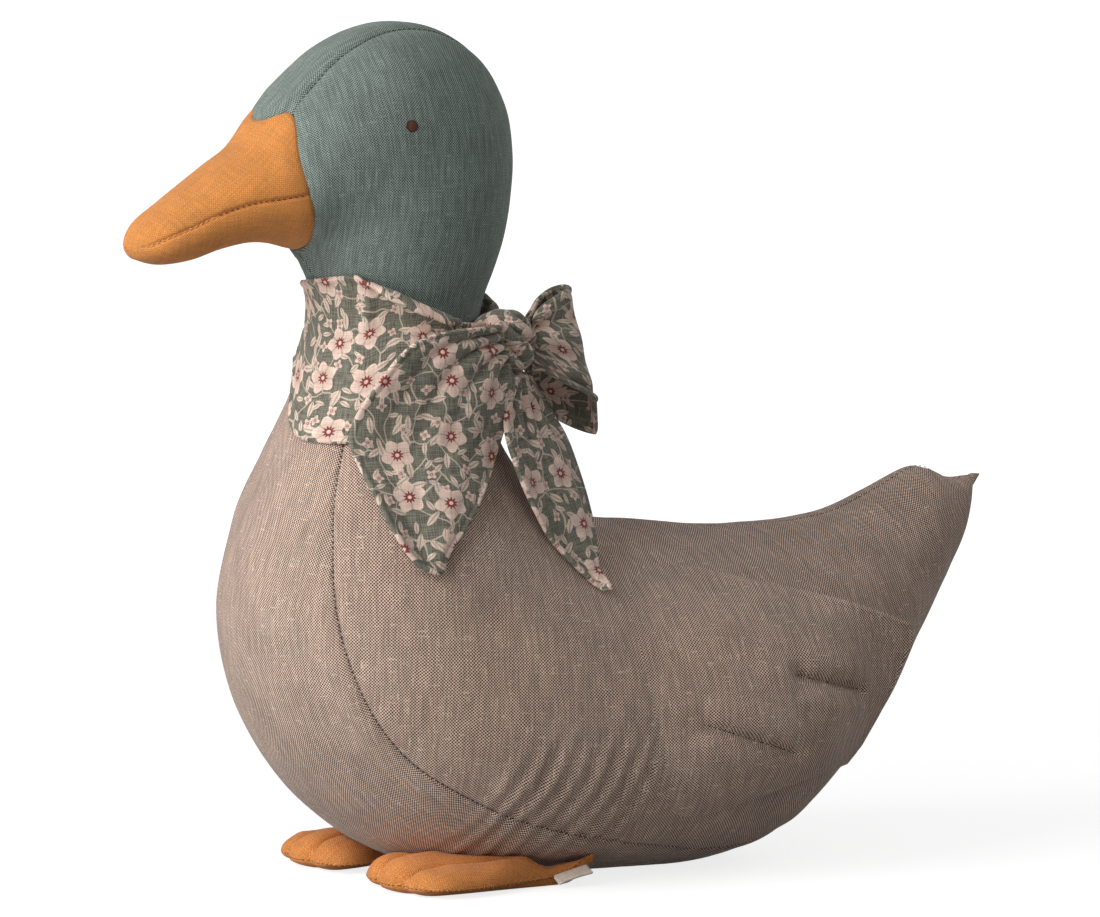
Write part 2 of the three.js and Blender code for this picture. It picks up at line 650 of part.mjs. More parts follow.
const frontExit = { angle: knotAngle - knotHalfAngle, z: knotCentreZ };
const frontEdgeShares = [
  [[0, -0.1], [-46, -0.06], [-66, 0.16], [-76, 0.4], [-66, 0.65], [-54, 0.93], [-46, 1]],
  [[0, 0.1], [0, 0.18], [-2, 0.27], [-10, 0.49], [-26, 0.7], [-40, 0.9], [-44, 1]],
];
const frontFreeShares = [0.97, 1, 0.99, 0.99, 1, 1, 1];
const frontTail = ribbonTail(frontExit, frontTailDrop, frontEdgeShares, frontFreeShares, 12, 10);
add('bow_tail_front', frontTail, scarfCotton);
const rearExit = { angle: knotAngle, z: knotCentreZ - knotHeight / 2 - seatGap };
const rearEdgeShares = [
  [[-7, 0], [-15, 0.2], [-17, 0.43], [-15, 0.66], [-9, 0.86], [-4, 1]],
  [[7, 0], [13, 0.2], [13, 0.43], [9, 0.66], [2, 0.86], [-2.5, 1]],
];
const rearFreeShares = [0.97, 1.2, 1.42, 1.6, 1.72, 1.8];
const rearTail = ribbonTail(rearExit, rearTailDrop, rearEdgeShares, rearFreeShares, 12, 6);
add('bow_tail_rear', rearTail, scarfCotton);

// The label tape: folded double, its ends sewn into the side seam beside the left heel.
const [labelBackShare, labelFrontShare] = [0.05, 0.24];
const labelShape = new THREE.Shape();
labelShape.moveTo(0, 0);
labelShape.lineTo(labelReach, 0);
labelShape.absarc(labelReach, labelTapeThickness, labelTapeThickness, -Math.PI / 2, Math.PI / 2);
labelShape.lineTo(0, 2 * labelTapeThickness);
labelShape.closePath();
const labelForm = new THREE.ExtrudeGeometry(labelShape, {
  depth: labelLength, bevelEnabled: false, curveSegments: 6,
});
const label = add('label_tape', labelForm, labelTape);
const labelBack = footPlan(labelBackShare, 1);
const labelFront = footPlan(labelFrontShare, 1);
const labelTurn = Math.atan2(labelFront.x - labelBack.x, labelBack.y - labelFront.y);
const labelMiddle = labelBack.clone().lerp(labelFront, 0.5);
const labelHolder = new THREE.Group();
labelHolder.rotation.z = labelTurn;
labelHolder.position.set(labelMiddle.x, labelMiddle.y, footSeamHeight);
label.rotation.x = Math.PI / 2;
label.position.set(seatGap + seamGap, labelLength / 2, -labelTapeThickness);
labelHolder.add(label);
duck.add(labelHolder);

// The origin is on the floor, under the middle of the duck.
const bounds = new THREE.Box3().setFromObject(duck);
duck.position.y = -(bounds.min.y + bounds.max.y) / 2;

export default duck;
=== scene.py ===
"""The looks of a stuffed linen duck with a tied scarf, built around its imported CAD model.

Shapes are worked out in millimetres in the duck's own frame, +Z up, facing -Y, with y = 0 at the
tail's tip, and become metres in the model's frame when a mesh is made. Along a form or a sheet the
places s or u run from 0 to 1, and across a sheet v does.
"""
import itertools
import math
from collections import namedtuple

import bpy
import numpy as np
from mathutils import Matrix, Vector
from mathutils.bvhtree import BVHTree


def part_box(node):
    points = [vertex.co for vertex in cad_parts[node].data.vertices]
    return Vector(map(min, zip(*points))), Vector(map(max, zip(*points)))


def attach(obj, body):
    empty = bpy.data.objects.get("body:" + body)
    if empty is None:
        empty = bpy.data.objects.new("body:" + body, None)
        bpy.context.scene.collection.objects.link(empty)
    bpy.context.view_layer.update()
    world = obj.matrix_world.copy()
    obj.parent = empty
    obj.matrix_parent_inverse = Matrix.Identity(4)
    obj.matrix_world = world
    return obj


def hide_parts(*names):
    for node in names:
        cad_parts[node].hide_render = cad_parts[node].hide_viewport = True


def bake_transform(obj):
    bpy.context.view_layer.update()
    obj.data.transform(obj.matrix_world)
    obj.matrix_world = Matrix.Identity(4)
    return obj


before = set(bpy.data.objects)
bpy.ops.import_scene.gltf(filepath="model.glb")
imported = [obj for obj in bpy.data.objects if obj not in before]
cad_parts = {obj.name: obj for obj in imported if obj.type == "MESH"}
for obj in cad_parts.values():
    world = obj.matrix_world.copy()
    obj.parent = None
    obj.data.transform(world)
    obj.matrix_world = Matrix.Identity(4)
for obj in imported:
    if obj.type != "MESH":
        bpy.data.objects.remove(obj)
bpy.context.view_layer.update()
MM = 0.001
FULL = 2 * math.pi

# Sizes of the body and neck, as in the CAD model
BODY_LENGTH, BODY_WIDTH = 400, 204
NECK_HEIGHT, NECK_DIAMETER, NECK_RISE = 262, 80, 4
NECK_Y = -BODY_LENGTH * 0.785
BODY_LOW_FULLNESS = 0.12

# Sizes of the head and beak
HEAD_LENGTH, HEAD_HEIGHT, HEAD_WIDTH, HEAD_GUSSET = 130.5, 142.5, 101, 42
BEAK_LENGTH = 75
EYE_DIAMETER = 6

# Sizes of the wings
WING_LENGTH, WING_HEIGHT, WING_THICKNESS, WING_TIP_REACH = 178, 126, 11, 78
WING_CLEARANCE = 1.1

# Sizes of the feet
FOOT_LENGTH, FOOT_WIDTH, FOOT_HEEL, FOOT_THICKNESS, FOOT_SEAM = 92, 72, 25, 16, 4
# The soft toes reach further than the CAD's, and the heel is drawn in
TOE_PUFF, FAR_TOE_PUFF, HEEL_DRAW = 8, 12, 11
TOE_NOTCH, TOE_GROOVE = 3.5, 8
WAIST = 0.2
FOOT_CENTRE, TOE_CENTRE = 0.608 * BODY_WIDTH / 2, 0.45 * BODY_WIDTH / 2

# Sizes of the scarf
RIBBON, SCARF_CLOTH = 75, 1.5
KNOT_WIDTH, KNOT_HEIGHT, KNOT_THICKNESS, KNOT_STAND_OFF = 24, 27, 20, 6
LOOP_LENGTH, LOOP_OPENING = 45, 26
FRONT_DROP, REAR_DROP = 102, 101
SCARF_CLEARANCE = 0.92

# Cloth
CLOTH = 1.2
STITCH_PITCH = 2.8
# Further off than anything, in millimetres
FAR = 1000.0

# Where the first station lies behind the tail's tip, and from there the duck's frame in the model's
TAIL_SHARE = 0.0025
shift_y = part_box("body_side_left")[1].y / MM + TAIL_SHARE * BODY_LENGTH
UP = np.array([0.0, 0.0, 1.0])
# Places crowd together this strongly at the seams of a panel and at the hems of a sheet
AT_SEAMS, AT_HEMS = 0.12, 0.13


# Curves, blends and smooth noise
def spline(knots, t):
    """A smooth curve through evenly spaced knots, read at t from 0 to 1."""
    knots = np.asarray(knots, float)
    last = len(knots) - 1
    at = np.clip(t, 0, 1) * last
    i = np.minimum(np.floor(at).astype(int), last - 1)
    f = at - i
    if knots.ndim > 1:
        f = f[..., None]
    b, c = knots[i], knots[i + 1]
    inner, further = i > 0, i + 2 <= last
    if knots.ndim > 1:
        inner, further = inner[..., None], further[..., None]
    a = np.where(inner, knots[np.maximum(i - 1, 0)], 2 * b - c)
    d = np.where(further, knots[np.minimum(i + 2, last)], 2 * c - b)
    return b + 0.5 * f * (c - a + f * (2 * a - 5 * b + 4 * c - d + f * (3 * (b - c) + d - a)))


def ease(x, low=0.0, high=1.0):
    t = np.clip((np.asarray(x, float) - low) / (high - low), 0, 1)
    return t * t * (3 - 2 * t)


def bell(x, width):
    return np.exp(-((np.asarray(x, float) / width) ** 2))


def mix(a, b, t):
    return a + (b - a) * t


def noise(points, size, seed=0):
    """Smooth noise from -1 to 1 with features about size across."""
    p = np.asarray(points, float) / size + 17.31 * (seed + 1)
    cell = np.floor(p).astype(np.int64)
    f = p - cell
    w = f * f * (3 - 2 * f)
    total = np.zeros(p.shape[:-1])
    for corner in itertools.product((0, 1), repeat=3):
        x, y, z = (cell[..., k] + corner[k] for k in range(3))
        h = (x * 73856093) ^ (y * 19349663) ^ (z * 83492791)
        h = ((h ^ (h >> 13)) * 1274126177) & 0xFFFF
        weight = np.prod([w[..., k] if corner[k] else 1 - w[..., k] for k in range(3)], axis=0)
        total += (h / 32767.5 - 1) * weight
    return total


def unit(v):
    return v / np.maximum(np.linalg.norm(v, axis=-1, keepdims=True), 1e-12)


def run_length(points, axis):
    """Distance along a grid of points, from its first row or column."""
    steps = np.linalg.norm(np.diff(points, axis=axis), axis=-1)
    start = np.zeros_like(np.take(steps, [0], axis=axis))
    return np.concatenate([start, np.cumsum(steps, axis=axis)], axis=axis)


def stacked(*coordinates):
    return np.stack(np.broadcast_arrays(*coordinates), -1)


def crowded(count, crowding):
    """Places from 0 to 1, closer together at both ends."""
    t = np.linspace(0, 1, count)
    return t - crowding * np.sin(FULL * t)


def places(shape, crowding):
    """Two grids: the place along a sheet, and the place across it."""
    return np.meshgrid(*map(crowded, shape, crowding), indexing="ij")


def around(columns):
    """Angles once round a form, as a row."""
    return np.linspace(0, FULL, columns, endpoint=False)[None, :]


def pole_to_pole(rows, margin):
    """Angles from one end of a round form to the other, as a column, short of its ends by a margin."""
    return np.linspace(margin, math.pi - margin, rows)[:, None]


def lumps(points, *layers):
    """Layers of noise, each as its height, the size of its lumps and its seed."""
    return sum(height * noise(points, size, seed) for height, size, seed in layers)


def ridges(distance, profile):
    """Ridges and grooves along a line, each as its height, its distance from the line and its width."""
    return sum(height * bell(distance - place, width) for height, place, width in profile)


def cad_middle(node):
    """The middle of a node of the CAD model, in the duck's own frame."""
    low, high = (np.array(corner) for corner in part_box(node))
    return (low + high) / 2 / MM - [0, shift_y, 0]


# Meshes
def make_object(name, vertices, faces, material, uv=None):
    vertices = np.asarray(vertices, float).reshape(-1, 3) + [0, shift_y, 0]
    mesh = bpy.data.meshes.new(name)
    mesh.from_pydata((vertices * MM).tolist(), [], [list(map(int, f)) for f in faces])
    mesh.validate()
    mesh.polygons.foreach_set("use_smooth", [True] * len(mesh.polygons))
    if uv is not None:
        layer = mesh.uv_layers.new(name="UVMap")
        corners = np.zeros(len(mesh.loops), np.int64)
        mesh.loops.foreach_get("vertex_index", corners)
        layer.data.foreach_set("uv", (np.asarray(uv).reshape(-1, 2)[corners] * MM).ravel())
    mesh.materials.append(material)
    if name in bpy.data.objects:
        name = f"{name}_soft"
    obj = bpy.data.objects.new(name, mesh)
    bpy.context.scene.collection.objects.link(obj)
    return obj


def grid_faces(rows, columns, start=0, flip=False, closed=False):
    i, j = np.meshgrid(np.arange(rows - 1), np.arange(columns if closed else columns - 1), indexing="ij")
    k = (j + 1) % columns
    a, b = start + i * columns + j, start + (i + 1) * columns + j
    c, d = start + (i + 1) * columns + k, start + i * columns + k
    quads = np.stack([a, b, c, d] if not flip else [a, d, c, b], -1)
    return quads.reshape(-1, 4).tolist()


# Flat patterns: each sheet of cloth is flattened as it would be cut, so that its threads run straight
def resample(grid, rows, columns):
    down = spline(np.eye(grid.shape[0]), np.linspace(0, 1, rows))
    across = spline(np.eye(grid.shape[1]), np.linspace(0, 1, columns))
    return np.einsum("in,nmk,jm->ijk", down, grid, across)


def turned_to(flat, goal):
    """The flat pattern turned, and mirrored if need be, to lie along the goal's axes."""
    flat, goal = flat - flat.mean((0, 1)), goal - goal.mean((0, 1))
    best = None
    for mirror in (1, -1):
        x, y = flat[..., 0] * mirror, flat[..., 1]
        cosine = (goal[..., 0] * x + goal[..., 1] * y).sum()
        sine = (goal[..., 1] * x - goal[..., 0] * y).sum()
        fit = math.hypot(cosine, sine)
        if best is None or fit > best[0]:
            c, s = cosine / fit, sine / fit
            best = (fit, np.stack([c * x - s * y, s * x + c * y], -1))
    return best[1]


def flatten(points, rounds=24):
    """Lays a grid of points flat, keeping every triangle as close to its own shape as it can."""
    rows, columns = points.shape[:2]
    quads = np.array(grid_faces(rows, columns))
    corners = np.concatenate([quads[:, [0, 1, 2]], quads[:, [0, 2, 3]]])
    p = points.reshape(-1, 3)[corners]
    first, second = p[:, 1] - p[:, 0], p[:, 2] - p[:, 0]
    length = np.maximum(np.linalg.norm(first, axis=-1), 1e-6)
    double_area = np.maximum(np.linalg.norm(np.cross(first, second), axis=-1), 1e-6)
    local = np.zeros((len(p), 3, 2))
    local[:, 1, 0], local[:, 2, 0] = length, (first * second).sum(-1) / length
    local[:, 2, 1] = double_area / length
    across = run_length(points, 1)
    flat = np.stack([run_length(points, 0), across - across[:, -1:] / 2], -1).reshape(-1, 2)
    drawn = flat[corners]
    one, two = drawn[:, 1] - drawn[:, 0], drawn[:, 2] - drawn[:, 0]
    if (one[:, 0] * two[:, 1] - one[:, 1] * two[:, 0]).sum() < 0:
        local[..., 1] *= -1
    count = rows * columns
    matrix = np.zeros((count, count))
    edges = []
    for a, b, c in ((1, 2, 0), (2, 0, 1), (0, 1, 2)):
        wedge = ((local[:, a] - local[:, c]) * (local[:, b] - local[:, c])).sum(-1) / double_area
        weight = np.clip(wedge, 0.05, 5)
        i, j = corners[:, a], corners[:, b]
        for row, column, sign in ((i, i, 1), (j, j, 1), (i, j, -1), (j, i, -1)):
            np.add.at(matrix, (row, column), sign * weight)
        edges.append((i, j, weight, local[:, a] - local[:, b]))
    matrix[0, 0] += 1
    inverse = np.linalg.inv(matrix)
    for _ in range(rounds):
        cosine = sine = 0
        for i, j, weight, own in edges:
            now = flat[i] - flat[j]
            cosine = cosine + weight * (now * own).sum(-1)
            sine = sine + weight * (now[:, 1] * own[:, 0] - now[:, 0] * own[:, 1])
        size = np.maximum(np.hypot(cosine, sine), 1e-9)
        c, s = cosine / size, sine / size
        right = np.zeros((count, 2))
        for i, j, weight, own in edges:
            turned = np.stack([c * own[:, 0] - s * own[:, 1], s * own[:, 0] + c * own[:, 1]], -1)
            np.add.at(right, i, weight[:, None] * turned)
            np.add.at(right, j, -weight[:, None] * turned)
        flat = inverse @ right
    return flat.reshape(rows, columns, 2)


def flat_pattern(points, goal):
    rows, columns = points.shape[:2]
    coarse = min(rows, 42), min(columns, 24)
    flat = flatten(resample(points, *coarse))
    return resample(turned_to(flat, resample(goal, *coarse)), rows, columns)


def side_grain(points):
    return points[..., 1:]


def middle_run(points):
    """Distance along the middle of a grid of points, the same right across it."""
    middle = run_length(points, 0)[:, points.shape[1] // 2]
    return np.broadcast_to(middle[:, None], points.shape[:2])


def front_grain(points):
    return np.stack([points[..., 0], middle_run(points)], -1)


def top_grain(points):
    return points[..., :2]


def slab(name, outer, inner, uv, material):
    """A closed sheet between two grids of points."""
    rows, columns = outer.shape[:2]
    count = rows * columns
    faces = grid_faces(rows, columns) + grid_faces(rows, columns, count, flip=True)
    rim = [(i, 0) for i in range(rows)] + [(rows - 1, j) for j in range(1, columns)]
    rim += [(i, columns - 1) for i in range(rows - 2, -1, -1)]
    rim += [(0, j) for j in range(columns - 2, 0, -1)]
    ids = [i * columns + j for i, j in rim]
    for a, b in zip(ids, ids[1:] + ids[:1]):
        faces.append([a, a + count, b + count, b])
    points = np.concatenate([outer.reshape(-1, 3), inner.reshape(-1, 3)])
    obj = make_object(name, points, faces, material, np.concatenate([uv.reshape(-1, 2)] * 2))
    turn_outward(obj)
    return obj


def tube(name, rings, uv, material):
    """A closed form from rings of points, with a fan over each end."""
    rows, columns = rings.shape[:2]
    faces = grid_faces(rows, columns, closed=True)
    points = np.concatenate([rings.reshape(-1, 3), rings[[0, -1]].mean(1)])
    for row, centre in ((0, rows * columns), (rows - 1, rows * columns + 1)):
        for j in range(columns):
            edge = [row * columns + j, row * columns + (j + 1) % columns]
            faces.append([centre] + (edge if row == 0 else edge[::-1]))
    ends = uv[[0, -1]].mean(1)
    obj = make_object(name, points, faces, material, np.concatenate([uv.reshape(-1, 2), ends]))
    turn_outward(obj)
    return obj


def turn_outward(obj):
    """Turns the faces of a closed mesh outward, by the sign of its volume."""
    mesh = obj.data
    mesh.calc_loop_triangles()
    co = np.zeros(len(mesh.vertices) * 3)
    mesh.vertices.foreach_get("co", co)
    tri = np.zeros(len(mesh.loop_triangles) * 3, np.int64)
    mesh.loop_triangles.foreach_get("vertices", tri)
    a, b, c = np.moveaxis(co.reshape(-1, 3)[tri].reshape(-1, 3, 3), 1, 0)
    if np.sum(a * np.cross(b, c)) < 0:
        mesh.flip_normals()


def dress(obj, body, slot, *nodes):
    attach(obj, body)
    if nodes:
        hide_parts(*nodes)
    return obj


# Materials and the world are node trees, written through these small helpers
class Value:
    """A node's output, for writing sums and products."""
    def __init__(self, tree, socket):
        self.tree, self.socket = tree, socket

    def __add__(self, other):
        return self.tree.math("ADD", self, other)

    def __sub__(self, other):
        return self.tree.math("SUBTRACT", self, other)

    def __mul__(self, other):
        return self.tree.math("MULTIPLY", self, other)


class Tree:
    def __init__(self, node_tree):
        self.tree = node_tree

    def put(self, socket, value):
        if isinstance(value, Value):
            self.tree.links.new(value.socket, socket)
        elif isinstance(value, tuple) and len(value) == 3 and socket.type == "RGBA":
            socket.default_value = (*value, 1)
        else:
            socket.default_value = value

    def node(self, kind, values, output=0, **settings):
        """A new node with its inputs' values: gives one of its outputs."""
        node = self.tree.nodes.new(kind)
        for key, value in settings.items():
            setattr(node, key, value)
        for key, value in values.items():
            self.put(node.inputs[key], value)
        return Value(self, node.outputs[output])

    def math(self, operation, *values):
        return self.node("ShaderNodeMath", dict(enumerate(values)), operation=operation)

    def vector(self, operation, *values):
        output = "Value" if operation == "LENGTH" else "Vector"
        return self.node("ShaderNodeVectorMath", dict(enumerate(values)), output, operation=operation)

    def scaled(self, vector, size):
        return self.node("ShaderNodeVectorMath", {"Vector": vector, "Scale": size}, operation="SCALE")

    def join(self, x, y, z=0.0):
        return self.node("ShaderNodeCombineXYZ", {0: x, 1: y, 2: z})

    def split(self, vector):
        node = self.tree.nodes.new("ShaderNodeSeparateXYZ")
        self.put(node.inputs[0], vector)
        return [Value(self, output) for output in list(node.outputs)[:2]]

    def noise(self, vector, detail=0.0):
        values = {"Vector": vector, "Scale": 1.0, "Detail": detail}
        return self.node("ShaderNodeTexNoise", values, "Fac", noise_dimensions="2D")

    def drifted(self, place, scale, amount):
        """The place, moved about smoothly."""
        drift = self.node("ShaderNodeTexNoise", {"Vector": place, "Scale": scale, "Detail": 1.0}, "Color")
        drift = self.vector("SUBTRACT", drift, (0.5, 0.5, 0.5))
        return self.vector("ADD", place, self.scaled(drift, amount))

    def step(self, value, low, high, to_low=0.0, to_high=1.0):
        values = {"Value": value, 1: low, 2: high, 3: to_low, 4: to_high}
        return self.node("ShaderNodeMapRange", values, interpolation_type="SMOOTHSTEP")

    def colour(self, factor, a, b, blend="MIX"):
        return self.node("ShaderNodeMix", {0: factor, 6: a, 7: b}, 2, data_type="RGBA", blend_type=blend)

    def shade(self, colour, factor):
        """The colour times a factor."""
        return self.colour(1.0, colour, self.join(factor, factor, factor), "MULTIPLY")

    def vary(self, colour, noise, dark, light):
        """The colour times a factor that follows the noise."""
        return self.shade(colour, self.step(noise, 0.3, 0.7, dark, light))

    def seen(self):
        """1 for what the camera sees, straight or in glass, and 0 for what only gives light."""
        path = self.tree.nodes.new("ShaderNodeLightPath").outputs
        rays = [Value(self, path[f"Is {kind} Ray"]) for kind in ("Camera", "Glossy", "Transmission")]
        return self.math("MAXIMUM", self.math("MAXIMUM", *rays[:2]), rays[2])


class Shader(Tree):
    """The tree of a material with one Principled surface."""
    def __init__(self, name, roughness, sheen):
        self.material = bpy.data.materials.new(name)
        self.material.use_nodes = True
        super().__init__(self.material.node_tree)
        self.surface = self.tree.nodes["Principled BSDF"].inputs
        self.surface["Roughness"].default_value = roughness
        self.surface["Specular IOR Level"].default_value = 0.25
        self.surface["Sheen Weight"].default_value = sheen
        self.surface["Sheen Roughness"].default_value = 0.5

    def cloth_place(self):
        """Where a point lies on its flat cloth, in metres."""
        return self.node("ShaderNodeUVMap", {}, uv_map="UVMap")

    def finish(self, colour, height, depth):
        self.put(self.surface["Base Color"], colour)
        values = {"Height": height, "Distance": depth, "Strength": 0.6}
        self.put(self.surface["Normal"], self.node("ShaderNodeBump", values))
        return self.material


# How a thread's tone changes, finely and broadly: from thread to thread, along it, and its weight
THREAD_TONES = ((0.85, 0.045, 0.85), (0.3, 0.02, 0.15))
# A slub: its width in threads and length as noise sees them, and where in the noise it starts and is full
SLUB_ACROSS, SLUB_ALONG, SLUB_START, SLUB_FULL, SLUB_LIGHT = 0.75, 0.11, 0.79, 0.85, 1.35
# Sizes of the broad patches on linen and of its brushed fibres, as scales of noise
PATCH_SCALE, FUZZ_SCALE = 38.0, 1700.0
LINEN_PITCH, COTTON_PITCH = 0.00064, 0.00036


def weave(shader, place, pitch, wander=3.6):
    """Plain weave: the place among the threads, their height, which is on top and that thread's tone.

    wander is how far the threads stray, in threads.
    """
    thread = shader.drifted(shader.scaled(place, 1 / pitch), 0.03, wander)
    a, b = shader.split(thread)
    crossing = shader.math("SINE", a * math.pi) * shader.math("SINE", b * math.pi)
    over = shader.step(crossing, -0.2, 0.2)
    tones = []
    for across, along in ((a, b), (b, a)):
        fine, broad = (
            shader.noise(shader.join(across * fast, along * slow)) * weight
            for fast, slow, weight in THREAD_TONES
        )
        tones.append(fine + broad)
    return thread, crossing, over, tones[1] + over * (tones[0] - tones[1])


def linen(name, pale, dark, streak, slub, pitch=LINEN_PITCH, fuzz=0.0):
    """Slubbed linen: pale threads one way, dark threads the other.

    streak, slub and fuzz are how strongly its threads differ, its slubs show and its brushed fibres show.
    """
    shader = Shader(name, roughness=0.92, sheen=0.12)
    place = shader.cloth_place()
    thread, crossing, over, tone = weave(shader, place, pitch)
    colour = shader.vary(shader.colour(over, dark, pale), tone, 1 - streak, 1 + streak)
    # Slubs are short thick stretches of single threads
    x, y = shader.split(thread)
    bright = tuple(min(c * SLUB_LIGHT, 1) for c in pale)
    for across, along, seed in ((x, y, 3.7), (y, x, 9.2)):
        cell = shader.join(across * SLUB_ACROSS, along * SLUB_ALONG + seed)
        spot = shader.step(shader.noise(cell), SLUB_START, SLUB_FULL)
        colour = shader.colour(spot * slub, colour, bright)
    patches = shader.noise(shader.scaled(place, PATCH_SCALE), detail=3.0)
    colour = shader.vary(colour, patches, 0.94, 1.06)
    height = crossing * 0.4 + tone
    if fuzz:
        grain = shader.noise(shader.scaled(place, FUZZ_SCALE), detail=3.0)
        colour = shader.vary(colour, grain, 1 - fuzz, 1 + fuzz)
        height = height + grain
    return shader.finish(colour, height, 0.00025)


def scatter(shader, place, shift, cell, randomness=1.0):
    """Scattered motifs: a point's distance from its motif's middle, its angle and the motif's chance."""
    scaled = shader.scaled(shader.vector("ADD", place, (*shift, 0)), 1 / cell)
    dots = shader.tree.nodes.new("ShaderNodeTexVoronoi")
    dots.voronoi_dimensions = "2D"
    for key, value in (("Vector", scaled), ("Scale", 1.0), ("Randomness", randomness)):
        shader.put(dots.inputs[key], value)
    nearest, chances = (Value(shader, dots.outputs[key]) for key in ("Position", "Color"))
    local = shader.scaled(shader.vector("SUBTRACT", scaled, nearest), cell)
    x, y = shader.split(local)
    chance, other = shader.split(chances)
    return shader.vector("LENGTH", local), shader.math("ARCTAN2", y, x) + chance * FULL, other


def printed_cotton(name):
    """Cotton with a scattered print of five-petalled blossoms, small flowers, sprigs and stems."""
    shader = Shader(name, roughness=0.88, sheen=0.2)
    place = shader.cloth_place()
    _, crossing, over, tone = weave(shader, place, COTTON_PITCH, wander=2.4)
    ground, petal, heart = (0.155, 0.155, 0.117), (0.93, 0.7, 0.585), (0.28, 0.052, 0.047)
    stem, leaf = (0.72, 0.6, 0.485), (0.84, 0.66, 0.54)
    colour = shader.colour(over * 0.16, shader.vary(ground, tone, 0.5, 1.5), stem)

    # Stems: a net of thin lines between scattered points
    net = {"Vector": shader.scaled(shader.drifted(place, 55.0, 0.016), 1 / 0.017), "Scale": 1.0}
    settings = {"voronoi_dimensions": "2D", "feature": "DISTANCE_TO_EDGE"}
    edge = shader.node("ShaderNodeTexVoronoi", net, "Distance", **settings)
    colour = shader.colour(shader.step(edge, 0.03, 0.015) * 0.85, colour, stem)

    # Leaves, pointed at both ends, with a vein: sizes in metres
    for cell, length, width, vein, shift in (
        (0.0085, 0.0034, 0.0013, 0.0002, 0.3),
        (0.012, 0.0046, 0.0017, 0.00025, 0.7),
    ):
        radius, angle, chance = scatter(shader, place, (shift, shift * 0.6), cell)
        reach = radius * shader.math("COSINE", angle) * (1 / length)
        side = shader.math("ABSOLUTE", radius * shader.math("SINE", angle))
        blade = shader.math("SUBTRACT", 1.0, reach * reach) * width - side
        inside = shader.step(blade, 0.0, 0.00025) * shader.step(chance, 0.12, 0.13)
        shape = shader.colour(shader.step(side, vein * 1.6, vein * 0.6) * 0.55, leaf, ground)
        colour = shader.colour(inside, colour, shape)

    # Flowers, their petals parted by creases, with a star for a heart and a pale dot in it
    for cell, size, petals, depth, core, randomness, shift in (
        (0.0135, 0.0028, 4, 0.2, 0.0008, 0.9, 0.11),
        (0.0245, 0.0082, 5, 0.13, 0.0026, 0.5, 0.53),
    ):
        radius, angle, _ = scatter(shader, place, (shift, shift * 1.7), cell, randomness)
        wave = shader.math("COSINE", angle * petals)
        inside = shader.step((wave * depth + (1 - depth)) * size - radius, 0.0, 0.00035)
        bloom = shader.shade(petal, shader.step(radius, core, size, 0.82, 1.06))
        bloom = shader.colour(shader.step(wave * -1.0, 0.86, 0.99) * 0.35, bloom, heart)
        star = (shader.math("COSINE", angle * (2 * petals)) * 0.22 + 1.0) * core
        bloom = shader.colour(shader.step(star - radius, 0.0, 0.0003), bloom, heart)
        bloom = shader.colour(shader.step(radius, core * 0.42, core * 0.3), bloom, petal)
        colour = shader.colour(inside, colour, bloom)

    return shader.finish(shader.vary(colour, tone, 0.82, 1.16), crossing * 0.5 + tone, 0.00015)


def fibre(name, colour, rim=None):
    """Loose fibre stuffing, or a plain thread, darker outside the rim's distances if one is given: painted
    shade round its edge.
    """
    shader = Shader(name, roughness=0.95, sheen=0.3)
    place = shader.cloth_place()
    x, y = shader.split(place)
    strand = shader.noise(shader.join(x * 400.0, y * 2500.0), detail=2.0)
    colour = shader.vary(colour, strand, 0.75, 1.2)
    if rim:
        # Painted shade: the thread darkens towards its edge, outside the rim's distances
        colour = shader.shade(colour, shader.step(shader.vector("LENGTH", place), *rim, 1.0, 0.3))
    return shader.finish(colour, strand, 0.0003)


body_linen = linen(
    "body_linen", pale=(0.86, 0.645, 0.525), dark=(0.05, 0.028, 0.021), streak=0.16, slub=0.34, pitch=0.00076,
)
head_linen = linen("head_linen", pale=(0.36, 0.435, 0.385), dark=(0.045, 0.062, 0.058), streak=0.22, slub=0.3)
beak_linen = linen(
    "beak_linen", pale=(0.82, 0.34, 0.092), dark=(0.62, 0.225, 0.055), streak=0.12, slub=0.25, fuzz=0.12,
)
foot_linen = linen(
    "foot_linen", pale=(0.86, 0.34, 0.094), dark=(0.58, 0.205, 0.055), streak=0.12, slub=0.2, fuzz=0.24,
)
scarf_cotton = printed_cotton("scarf_cotton")
filling = fibre("filling", (0.85, 0.82, 0.77))
tape = linen(
    "label_tape", pale=(0.97, 0.84, 0.73), dark=(0.86, 0.72, 0.61), streak=0.1, slub=0.0, pitch=0.0005,
)
dark_thread = fibre("dark_thread", (0.035, 0.025, 0.022))
teal_thread = fibre("teal_thread", (0.035, 0.052, 0.048))
ochre_thread = fibre("ochre_thread", (0.2, 0.07, 0.014))
pale_thread = fibre("pale_thread", (0.8, 0.42, 0.16))
# The eye's thread has painted shade round its edge, where the dome turns down into the head
eye_thread = fibre("eye_thread", (0.11, 0.036, 0.018), rim=(0.0017, 0.0027))


